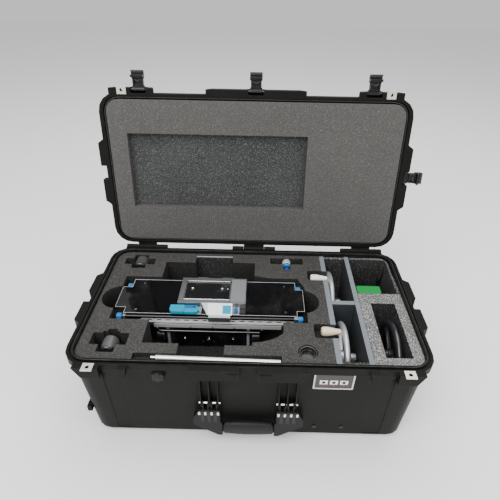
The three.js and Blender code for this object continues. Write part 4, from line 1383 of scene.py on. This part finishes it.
@dataclass
class Slider:
    """The slider's deck, frame, rail, rack and drive box."""

    edge: float = 0.7
    ticks: tuple[float, ...] = (-138.0, -88.0, -38.0)
    deck_screws: tuple[Pair, ...] = ((-262.0, 56.0), (78.0, 56.0), (-262.0, -34.0), (82.0, -34.0))
    roller: float = 15.0
    bench: Bench = field(default_factory=lambda: Bench("slider"))

    def build(self) -> None:
        """Makes every fixed piece of the slider."""
        self.bench.refined("deck_plate", DECK_BLACK, "deck_gloss", 0.35)
        self.bench.refined("deck_frame", SILVER, "slider_silver", 0.5)
        self.deck_edge()
        self.deck_fixings()
        self.front_face()
        self.rail()
        self.carry_bar()
        self.drive_box()
        self.posts()

    def deck_edge(self) -> None:
        """A thin silver line round the deck's top: partly the plate's silver edge, partly a painted highlight."""
        top = Room.of("deck_plate").high.z
        form = Form().band(top_outline("deck_plate"), self.edge, (top - 0.3, top + 0.35))
        self.bench.place(form.made("deck_edge"), EDGE_SILVER, "slider_silver")

    def deck_fixings(self) -> None:
        """Small bright screws near the deck's corners."""
        top = Room.of("deck_plate").high.z
        (x0, y0), (x1, _), (_, y2), _ = self.deck_screws
        for name, y in (("rear", y0), ("front", y2)):
            row = screw_row(f"deck_screws_{name}", BRIGHT_STEEL, 2, (x0, y, top - 0.15), (x1 - x0, 0, 0),
                            2.4, 0.8)
            self.bench.place(row, BRIGHT_STEEL, "steel")

    def front_face(self) -> None:
        """The dark band that paints the shade in the gap under the deck, the slotted strip with black blocks that
        paint the shade in its slots, and the bar with three ticks.
        """
        frame_room, rack = Room.of("deck_frame"), Room.of("slotted_rack")
        self.bench.refined("slotted_rack", RACK_SILVER, "slider_silver", 0.3)
        face = rack.high.y
        # Painted shade: a dark sheet in the gap under the deck.
        band = Form().box((rack.low.x - 34, face - 0.1, rack.high.z + 0.6), (rack.high.x - 3, face + 0.6, 242.2))
        self.bench.place(band.made("dark_band", 0.15), PANEL_BLACK, "drive_black")
        count = 16
        # Painted shade: black blocks over the rack's slots.
        slots = block_row("rack_slots", SLOT_BLACK, count, (-230.5, face - 0.1, rack.centre.z + 0.2),
                          (21, 0, 0), (14.0, 0.6, 7.4))
        self.bench.place(slots, SLOT_BLACK, "drive_black")
        step = self.ticks[1] - self.ticks[0]
        bar = Form().box((-222, -47.1, 204.3), (70, -46.4, 214.7))
        self.bench.place(bar.made("tick_bar", 0.2), BAR_SILVER, "slider_silver")
        ticks = block_row("bar_ticks", SLOT_BLACK, 3, (self.ticks[0], -47.2, 206.5), (step, 0, 0), (2.2, 0.5, 4.0))
        self.bench.place(ticks, SLOT_BLACK, "drive_black")
        corner = Form().box((98, -53.4, 243.1), (105.5, -49.6, 245.4)).box((98, -49.6, 243.1), (105.5, -47, 245.4))
        self.bench.place(corner.made("front_corner_bracket", 0.3), SILVER, "slider_silver")
        ends = Form().box((frame_room.low.x + 4, -43.2, 218), (frame_room.low.x + 30, -42.1, 240))
        self.bench.place(ends.made("left_end_cover", 0.3), PANEL_BLACK, "drive_black")

    def rail(self) -> None:
        """The dark round rail along the front."""
        room = Room.of("front_rail")
        form = Form().rod(Axis.X, (room.low.x, room.high.x), (room.centre.y, room.centre.z), room.size.z / 2)
        self.bench.place(form.made("front_rail_fine", 0.4), DARK_STEEL, "steel", "front_rail")

    def carry_bar(self) -> None:
        """The round bar below the rail, turned up at both ends."""
        room = Room.of("carry_bar")
        radius = room.size.y / 2
        left, right = room.low.x + radius, room.high.x - radius
        base, bend = room.low.z + radius, 9.0
        path = [Vector((left, room.centre.y, room.high.z))]
        path += [Vector((left + bend - bend * math.cos(a), room.centre.y, base + bend - bend * math.sin(a)))
                 for a in (math.pi / 2 * k / 8 for k in range(9))]
        path += [Vector((right - bend + bend * math.sin(a), room.centre.y, base + bend - bend * math.cos(a)))
                 for a in (math.pi / 2 * k / 8 for k in range(9))]
        path.append(Vector((right, room.centre.y, room.high.z)))
        self.bench.place(Form().tube(path, radius).made("carry_bar_fine"), BAR_STEEL, "steel", "carry_bar")

    def drive_box(self) -> None:
        """The black box with its front panel, screws, plain round cap and end rollers."""
        self.bench.refined("drive_box", PANEL_BLACK, "drive_black", 1.2)
        room = Room.of("drive_box")
        face = room.low.y
        panel = Form().prism(rectangle((room.low.x + 8, room.high.x - 6), (room.low.z + 6, room.high.z - 5), 3.0),
                             Axis.Y, (face - 1.4, face + 0.5))
        self.bench.place(panel.made("drive_panel", 0.4), DECK_BLACK, "drive_black")
        screws = screw_row("drive_screws", BRIGHT_STEEL, 3, (-155.7, face - 1.8, 161), (57, 0, 0), 2.6, 1.2,
                           (math.pi / 2, 0.0, 0.0))
        self.bench.place(screws, BRIGHT_STEEL, "steel")
        cap = Form().turned([(face - 3.6, 0), (face - 3.6, 8), (face - 2.6, 9.2), (face - 1, 9.6), (face - 1, 0)],
                            Axis.Y, (-100.6, 148), 40)
        self.bench.place(cap.made("drive_cap", 0.3), BAR_STEEL, "steel")
        lobes = ridge_ring("drive_cap_lobes", BAR_STEEL, 8, 12.5, (5, 3.2, 1.6), Axis.Y,
                           Vector((-100.6, face - 2.0, 148)))
        self.bench.place(lobes, BAR_STEEL, "steel")
        for name, x in (("left", -222.0), ("right", 2.0)):
            r = self.roller
            profile = [(x, 0), (x, r - 3), (x + 1.5, r), (x + 18.5, r), (x + 20, r - 3), (x + 20, 0)]
            roller = Form().turned(profile, Axis.X, (-30, 164), 40)
            self.bench.place(roller.made(f"end_roller_{name}", 0.6), CAP_BLACK, "rubber")

    def posts(self) -> None:
        """The two bright posts at the box's ends."""
        for side in Side:
            room = Room.of(f"support_post_{side.word}")
            form = Form().rod(Axis.Z, (room.low.z, room.high.z), (room.centre.x, room.centre.y), room.size.y / 2)
            node = f"support_post_{side.word}"
            self.bench.place(form.made(f"{node}_fine", 0.3), PALE_SILVER, "steel", node)


@dataclass
class RailKnob:
    """One small blue knob on a rail's end."""

    name: str
    ridges: int = 14

    def build(self) -> None:
        """Makes the knob and the ridges round it."""
        node = f"rail_knob_{self.name}"
        bench = Bench(node)
        room = Room.of(node)
        low, high, radius = room.low.x, room.high.x, 6.4
        profile = [(low, 0), (low, 4.6), (low + 1.6, radius), (high - 1.6, radius), (high, 4.6), (high, 0)]
        knob = Form().turned(profile, Axis.X, (room.centre.y, room.centre.z), 36)
        bench.place(knob.made(f"{node}_fine", 0.35), BLUE, "anodised_blue", node)
        ring = ridge_ring(f"{node}_ridges", BLUE, self.ridges, radius - 0.1, (0.9, 1.3, high - low - 4.5), Axis.X,
                          room.centre)
        bench.place(ring, BLUE, "anodised_blue")


# ---- Carriage ----


@dataclass
class Carriage:
    """The carriage that travels on the deck."""

    screws_x: Pair = (-140.0, -70.0)
    bench: Bench = field(default_factory=lambda: Bench("carriage"))

    def build(self) -> None:
        """Makes the body, its window with a polished border, its pad and its screws."""
        self.bench.refined("carriage", SILVER, "slider_silver", 0.6)
        body, window = Room.of("carriage"), Room.of("carriage_window")
        self.bench.refined("carriage_window", WINDOW_BLACK, "window", 0.3)
        (x0, y0, top), (x1, y1, _) = (window.low.x, window.low.y, body.high.z), window.high
        border = [((x0 - 2.2, y0 - 2.2), (x1 + 2.2, y0 + 0.6)), ((x0 - 2.2, y1 - 0.6), (x1 + 2.2, y1 + 2.2)),
                  ((x0 - 2.2, y0 - 2.2), (x0 + 0.6, y1 + 2.2)), ((x1 - 0.6, y0 - 2.2), (x1 + 2.2, y1 + 2.2))]
        form = Form()
        for (u0, v0), (u1, v1) in border:
            form.box((u0, v0, top - 1.2), (u1, v1, top + 0.7))
        self.bench.place(form.made("window_border", 0.4), BRIGHT_STEEL, "slider_silver")
        pad = Form().prism(rectangle((x1 + 3.2, body.high.x - 1.6), (y0 - 8, y1 + 8), 1.5), Axis.Z,
                           (top - 0.2, top + 0.4))
        self.bench.place(pad.made("carriage_pad", 0.2), PAD_GREY, "slider_silver")
        step = self.screws_x[1] - self.screws_x[0]
        middle = window.centre.y + 6
        screws = screw_row("window_screws", BRIGHT_STEEL, 2, (self.screws_x[0], middle, window.high.z + 0.5),
                           (step, 0, 0), 4.4, 1.6)
        self.bench.place(screws, BRIGHT_STEEL, "steel")
        small = screw_row("window_small_screw", BRIGHT_STEEL, 1, (-57, middle, window.high.z + 0.4), (0, 0, 0),
                          1.8, 1.0)
        self.bench.place(small, BRIGHT_STEEL, "steel")
        self.apron()

    def apron(self) -> None:
        """The pale sloping face in front, with its cyan mark."""
        slope = [(-25.2, 262.2), (-25.2, 261.2), (-50.4, 248.8), (-50.4, 249.9)]
        face = Form().prism([(y, z) for y, z in slope], Axis.X, (-98, -43))
        self.bench.place(face.made("apron_face", 0.2), PALE_SILVER, "slider_silver")
        mark = Form().prism([(-30, 260.2), (-30, 259.4), (-48, 250.6), (-48, 251.5)], Axis.X, (-64, -45))
        self.bench.place(mark.made("apron_mark", 0.15), CYAN, "anodised_blue")


@dataclass
class LockLever:
    """The two-tone lever beside the apron."""

    split: float = -150.0
    bench: Bench = field(default_factory=lambda: Bench("lock_lever"))

    def build(self) -> None:
        """Makes the bright end block, the blue band and its dot."""
        room = Room.of("lock_lever")
        low, high = room.low, room.high
        end = Form().prism(closed_ring([(low.x, low.y + 5), (low.x + 6, low.y), (self.split, low.y),
                                        (self.split, high.y), (low.x, high.y)], 2.0), Axis.Z, (low.z, high.z))
        self.bench.place(end.made("lever_end", 0.8), CYAN, "anodised_blue", "lock_lever")
        radius = room.size.y / 2
        middle = (low.y + high.y) / 2
        arc = [(high.x - radius + radius * math.cos(a), middle + radius * math.sin(a))
               for a in (-math.pi / 2 + math.pi * k / 16 for k in range(17))]
        edge = self.split + 0.4
        band = Form().prism([(edge, low.y), *arc, (edge, high.y)], Axis.Z, (low.z, high.z - 1.2))
        self.bench.place(band.made("lever_band", 0.6), CYAN, "anodised_blue")
        inlay = [(self.split + 1.5, middle + 0.5), (high.x - radius, middle + 0.5), (high.x - 3, middle + 4),
                 (high.x - radius, high.y - 1.4), (self.split + 1.5, high.y - 1.4)]
        top = Form().prism(closed_ring(inlay, 1.5), Axis.Z, (high.z - 1.4, high.z - 0.7))
        self.bench.place(top.made("lever_inlay", 0.2), BLUE, "anodised_blue")
        dot = screw_row("lever_dot", CAP_BLACK, 1, (high.x - radius, middle + 5, high.z - 0.5), (0, 0, 0), 1.7, 0.8)
        self.bench.place(dot, CAP_BLACK, "drive_black")


@dataclass
class ThumbScrew:
    """The blue thumb screw on the carriage."""

    ridges: int = 16
    bench: Bench = field(default_factory=lambda: Bench("thumb_screw"))

    def build(self) -> None:
        """Makes the head with its ridges and the dark stem."""
        room = Room.of("thumb_screw")
        low, high = room.low.z, room.high.z
        centre = (room.centre.x, room.centre.y)
        profile = [(low, 0), (low, 4.0), (high - 4.6, 4.0), (high - 4, 3.4), (high - 4, 2.4), (high, 2.4), (high, 0)]
        self.bench.place(Form().turned(profile, Axis.Z, centre, 32).made("thumb_screw_fine", 0.25), BLUE,
                         "anodised_blue", "thumb_screw")
        ring = ridge_ring("thumb_screw_ridges", BLUE, self.ridges, 3.8, (0.7, 0.8, 5.5), Axis.Z,
                          Vector((centre[0], centre[1], low + 3.6)))
        self.bench.place(ring, BLUE, "anodised_blue")


# ---- Handwheels ----


@dataclass
class Handwheel:
    """One handwheel that stands on edge in the foam."""

    name: str
    finish: Finish
    slot: str
    out: int = 1
    rim: float = 80.0
    half: float = 7.0
    thick: float = 17.0
    hub_reach: float = 34.0

    def build(self) -> None:
        """Makes the rim, the hub and the spokes, and the crank's spindle where there is one."""
        node = f"handwheel_{self.name}"
        bench = Bench(node)
        room = Room.of(node)
        x = room.high.x - (self.half if self.name == "black" else self.hub_reach)
        y, z = room.centre.y, room.centre.z
        rim, inner, half = self.rim, self.rim - self.thick, self.half
        section = [(x + half * math.cos(a) * 0.98,
                    (rim + inner) / 2 + (rim - inner) / 2 * math.sin(a))
                   for a in (2 * math.pi * k / 20 for k in range(20))]
        form = Form().turned(section, Axis.X, (y, z), 96, closed=True)
        side = self.out
        hub = [(x - side * half, 0), (x - side * half, 14), (x - side * 5, 17), (x + side * 4, 17),
               (x + side * half, 15), (x + side * (half + 13), 10.5), (x + side * (half + 14), 9),
               (x + side * (half + 25), 8.6), (x + side * (half + 26.6), 7.4), (x + side * (half + 26.6), 3.4),
               (x + side * (half + 20), 3.0), (x + side * (half + 20), 0)]
        form.turned(hub, Axis.X, (y, z), 48)
        self.spokes(form, Vector((x, y, z)), inner)
        bench.place(form.made(f"{node}_fine", 0.6), self.finish, self.slot, node)
        if self.name != "black":
            self.spindle(bench, x)
        boss = ridge_ring(f"{node}_hub_ridges", self.finish, 20, 8.5, (0.9, 1.2, 8.5), Axis.X,
                          Vector((x + side * (half + 19), y, z)))
        bench.place(boss, self.finish, self.slot)

    def spokes(self, form: Form, centre: Vector, inner: float) -> None:
        """Adds three tapered spokes between the hub and the rim."""
        for k in range(3):
            low = [(-4.2, -7.5), (4.2, -7.5), (4.2, 7.5), (-4.2, 7.5)]
            high = [(-3.4, -5.5), (3.4, -5.5), (3.4, 5.5), (-3.4, 5.5)]
            turn = Matrix.Rotation(math.radians(60 + 120 * k), 4, "X")
            one = [form.mesh.verts.new(centre + turn @ Vector((u, v, 11))) for u, v in low]
            two = [form.mesh.verts.new(centre + turn @ Vector((u, v, inner + 3))) for u, v in high]
            faces = [form.mesh.faces.new(one), form.mesh.faces.new(two)]
            for i in range(4):
                nxt = (i + 1) % 4
                faces.append(form.mesh.faces.new((one[i], one[nxt], two[nxt], two[i])))
            bmesh.ops.recalc_face_normals(form.mesh, faces=faces)

    def spindle(self, bench: Bench, x: float) -> None:
        """The steel spindle that the crank's grip turns on."""
        grip = Room.of(f"wheel_grip_{self.name}")
        y, z = grip.centre.y, grip.centre.z
        face = x - self.half
        form = Form().turned([(grip.low.x - 0.9, 0), (grip.low.x - 0.9, 2.0), (grip.low.x - 0.2, 2.5),
                              (face + 2, 2.5), (face + 2, 0)], Axis.X, (y, z), 24)
        bench.place(form.made(f"crank_spindle_{self.name}"), STEEL, "steel")


@dataclass
class CrankGrip:
    """The turning grip on a handwheel's crank."""

    name: str
    finish: Finish
    slot: str

    def build(self) -> None:
        """Makes a grip that swells towards its free end."""
        node = f"wheel_grip_{self.name}"
        room = Room.of(node)
        end = room.high.x
        shape = [(-42, 2.8), (-42, 7.2), (-41, 8.8), (-39, 9.9), (-35.5, 10.4), (-30, 10.3), (-24, 9.7),
                 (-17, 8.4), (-10, 7.0), (-5, 6.2), (-1.2, 5.9), (0, 5.2), (0, 2.8)]
        profile = [(end + along, radius) for along, radius in shape]
        form = Form().turned(profile, Axis.X, (room.centre.y, room.centre.z), 48, closed=True)
        Bench(node).place(form.made(f"{node}_fine"), self.finish, self.slot, node)


# ---- Loose pieces ----


@dataclass
class ClampKnob:
    """A clamp knob lying in its pocket."""

    name: str
    ridges: int = 40

    def build(self) -> None:
        """Makes the knurled body, the flared cap with its light ring, and the bright stub."""
        node = f"clamp_knob_{self.name}"
        bench = Bench(node)
        room = Room.of(node)
        front, back = room.low.y, room.high.y
        centre = (room.centre.x, room.centre.z)
        body = [(front + 16.5, 0), (front + 16.5, 15.4), (front + 18, 16.3), (back - 2, 16.3), (back, 14.4),
                (back, 0)]
        bench.place(Form().turned(body, Axis.Y, centre, 64).made(f"{node}_body", 0.4), KNOB_BLACK, "knob_black", node)
        cap = [(front + 9, 0), (front + 9, 12.5), (front + 10.5, 15.6), (front + 13, 17.3), (front + 15.6, 17.4),
               (front + 16.6, 16.6), (front + 16.6, 0)]
        bench.place(Form().turned(cap, Axis.Y, centre, 64).made(f"{node}_cap", 0.3), CAP_BLACK, "knob_black")
        ring = [(front + 15.2, 15.6), (front + 16.0, 16.9), (front + 17.0, 16.7), (front + 17.0, 15.6)]
        bench.place(Form().turned(ring, Axis.Y, centre, 64, closed=True).made(f"{node}_ring"), STEEL, "steel")
        stub = [(front, 0), (front, 2.6), (front + 0.8, 3.4), (front + 10, 3.4), (front + 10, 0)]
        bench.place(Form().turned(stub, Axis.Y, centre, 28).made(f"{node}_stub"), BRIGHT_STEEL, "steel")
        middle = (front + 20 + back - 3) / 2
        knurl = ridge_ring(f"{node}_knurl", KNOB_BLACK, self.ridges, 16.2, (0.7, 1.1, back - front - 24), Axis.Y,
                           Vector((centre[0], middle, centre[1])))
        bench.place(knurl, KNOB_BLACK, "knob_black")


@dataclass
class LensKnob:
    """The small silver knob with a blue end."""

    bench: Bench = field(default_factory=lambda: Bench("lens_knob"))

    def build(self) -> None:
        """Makes the silver head, a dark groove, a light-blue ring and the blue end."""
        room = Room.of("lens_knob")
        front, back = room.low.y, room.high.y
        centre = (room.centre.x, room.centre.z)
        head = [(front + 24, 0), (front + 24, 9.4), (front + 25.2, 10.3), (back - 1.6, 10.3), (back, 8.6), (back, 0)]
        self.bench.place(Form().turned(head, Axis.Y, centre, 48).made("lens_knob_head", 0.3), PALE_SILVER,
                         "knob_silver", "lens_knob")
        groove = [(front + 21.4, 0), (front + 21.4, 8.7), (front + 24.2, 8.7), (front + 24.2, 0)]
        self.bench.place(Form().turned(groove, Axis.Y, centre, 48).made("lens_knob_groove"), CAP_BLACK, "knob_black")
        ring = [(front + 15, 0), (front + 15, 8.2), (front + 16, 9.0), (front + 20.8, 9.0), (front + 21.6, 8.2),
                (front + 21.6, 0)]
        self.bench.place(Form().turned(ring, Axis.Y, centre, 48).made("lens_knob_ring", 0.3), CYAN, "anodised_blue")
        end = [(front, 0), (front, 6.4), (front + 1.4, 7.6), (front + 15.2, 7.6), (front + 15.2, 0)]
        self.bench.place(Form().turned(end, Axis.Y, centre, 40).made("lens_knob_end", 0.3), NAVY, "anodised_blue")
        knurl = ridge_ring("lens_knob_knurl", PALE_SILVER, 28, 10.2, (0.5, 0.9, 11.0), Axis.Y,
                           Vector((centre[0], front + 32, centre[1])))
        self.bench.place(knurl, PALE_SILVER, "knob_silver")


@dataclass
class SupportRod:
    """The bright rod that lies a little askew along the front of the foam."""

    lean: float = 1.2
    bench: Bench = field(default_factory=lambda: Bench("support_rod"))

    def build(self) -> None:
        """Makes the rod with a stepped, darker left end."""
        room = Room.of("support_rod")
        low, high, radius = room.low.x, room.high.x, room.size.z / 2
        middle = room.centre
        centre = (middle.y, middle.z)
        lean = (Matrix.Translation(middle) @ Matrix.Rotation(-math.radians(self.lean), 4, "Z")
                @ Matrix.Translation(-middle))
        body = [(low + 11, 0), (low + 11, radius - 0.5), (low + 11.8, radius), (high - 0.8, radius),
                (high, radius - 0.8), (high, 0)]
        self.bench.place(Form().turned(body, Axis.X, centre, 40).moved(lean).made("support_rod_fine"), ROD_SILVER,
                         "steel", "support_rod")
        tip = [(low, 0), (low, 2.8), (low + 1.5, 4.0), (low + 11.4, 4.0), (low + 11.4, 0)]
        end = Form().turned(tip, Axis.X, centre, 32).moved(lean)
        self.bench.place(end.made("support_rod_tip", 0.2), STEEL, "steel")


@dataclass
class AdapterRing:
    """The black ring that stands in a round pocket."""

    bench: Bench = field(default_factory=lambda: Bench("adapter_ring"))

    def build(self) -> None:
        """Makes the cup with its rounded lip and a step inside."""
        room = Room.of("adapter_ring")
        low, high = room.low.z, room.high.z
        outer = room.size.x / 2
        section = [(low, 0), (low, outer - 1), (low + 1, outer), (high - 1.6, outer), (high - 0.4, outer - 0.7),
                   (high, outer - 2), (high - 0.5, outer - 3.6), (high - 2, outer - 4.4), (high - 7, outer - 4.6),
                   (high - 7, outer - 6.4), (low + 8, outer - 6.4), (low + 8, 0)]
        form = Form().turned(section, Axis.Z, (room.centre.x, room.centre.y), 72)
        self.bench.place(form.made("adapter_ring_fine", 0.25), CAP_BLACK, "rubber", "adapter_ring")


@dataclass
class GreenCase:
    """The slim green case in the rear right bay."""

    bench: Bench = field(default_factory=lambda: Bench("green_case"))

    def build(self) -> None:
        """Makes the case with soft edges and a seam along its lid."""
        room = Room.of("green_case")
        low, high = room.low, room.high
        outline = rectangle((low.x, high.x), (low.y, high.y), 5.0)
        body = Form().prism(outline, Axis.Z, (low.z, high.z))
        self.bench.place(body.made("green_case_fine", 2.2, 4), GREEN, "green", "green_case")
        seam = Form().prism(rectangle((low.x - 0.3, high.x + 0.3), (low.y - 0.3, high.y + 0.3), 5.2), Axis.Z,
                            (high.z - 24, high.z - 22.6))
        self.bench.place(seam.made("green_case_seam", 0.3), GREEN, "green")


# ---- Studio ----


@dataclass
class Studio:
    """The floor, the lights and the camera."""

    spot: Point = (0.017384, -0.748567, 0.934826)
    pitch: float = math.radians(56.316)
    heading: float = math.radians(0.54)
    roll: float = math.radians(0.979)
    lens: float = 31.018
    shift: Pair = (-0.01418, -0.03209)

    def build(self) -> None:
        """Makes the whole studio."""
        self.camera()
        self.floor()
        self.world()
        self.light("key", (-0.9, -1.6, 2.6), (0.0, 0.0, 0.1), 2.2, 95.0)
        self.light("top", (0.3, 0.5, 2.7), (0.0, 0.0, 0.2), 2.4, 60.0)
        self.light("fill", (2.2, -1.2, 1.4), (0.0, 0.0, 0.2), 1.6, 22.0)

    def camera(self) -> None:
        """The camera that looks down at the open case from the front."""
        data = bpy.data.cameras.new("camera")
        data.sensor_width = 36.0
        data.lens = self.lens
        data.shift_x, data.shift_y = self.shift
        data.clip_start = 0.01
        camera = bpy.data.objects.new("camera", data)
        bpy.context.scene.collection.objects.link(camera)
        turn = Matrix.Rotation(self.heading, 4, "Z") @ Matrix.Rotation(self.pitch, 4, "X") @ Matrix.Rotation(
            self.roll, 4, "Z")
        camera.matrix_world = Matrix.Translation(self.spot) @ turn
        bpy.context.scene.camera = camera

    def floor(self) -> None:
        """A plain pale floor."""
        mesh = bpy.data.meshes.new("floor")
        half = 6.0
        mesh.from_pydata([(-half, -half, 0), (half, -half, 0), (half, half, 0), (-half, half, 0)], [], [(0, 1, 2, 3)])
        floor = bpy.data.objects.new("floor", mesh)
        bpy.context.scene.collection.objects.link(floor)
        mesh.materials.append(FLOOR.material())

    def world(self) -> None:
        """An even pale surround."""
        world = bpy.data.worlds.new("studio")
        world.use_nodes = True
        background = world.node_tree.nodes["Background"]
        background.inputs["Color"].default_value = (1.0, 1.0, 1.0, 1.0)
        background.inputs["Strength"].default_value = 0.75
        bpy.context.scene.world = world

    def light(self, name: str, spot: Point, aim: Point, size: float, power: float) -> None:
        """One soft square light that faces a point."""
        data = bpy.data.lights.new(name, "AREA")
        data.size = size
        data.energy = power
        lamp = bpy.data.objects.new(name, data)
        bpy.context.scene.collection.objects.link(lamp)
        lamp.location = spot
        lamp.rotation_euler = (Vector(aim) - Vector(spot)).to_track_quat("-Z", "Y").to_euler()


def main() -> None:
    """Builds the studio and every sub-assembly in order."""
    logging.basicConfig(level=logging.INFO, format="%(message)s")
    assemblies = [
        Studio(), CaseBase(), ValveKnob(), FrontHandle(), SideHandle(Side.LEFT), SideHandle(Side.RIGHT),
        Foam(), Lid(), *(Latch(name) for name in ("left", "centre", "right", "side")), Slider(),
        *(RailKnob(name) for name in ("front_left", "front_right", "rear_left", "rear_right")),
        Carriage(), LockLever(), ThumbScrew(),
        Handwheel("rear", WHEEL_SILVER, "wheel_silver"), CrankGrip("rear", GRIP_WHITE, "grip_white"),
        Handwheel("front", WHEEL_SILVER, "wheel_silver"), CrankGrip("front", GRIP_CREAM, "grip_wood"),
        Handwheel("black", WHEEL_BLACK, "wheel_black", out=-1),
        ClampKnob("rear"), ClampKnob("front"), LensKnob(), SupportRod(), AdapterRing(), GreenCase(),
    ]
    for assembly in assemblies:
        assembly.build()


if __name__ == "__main__":
    main()
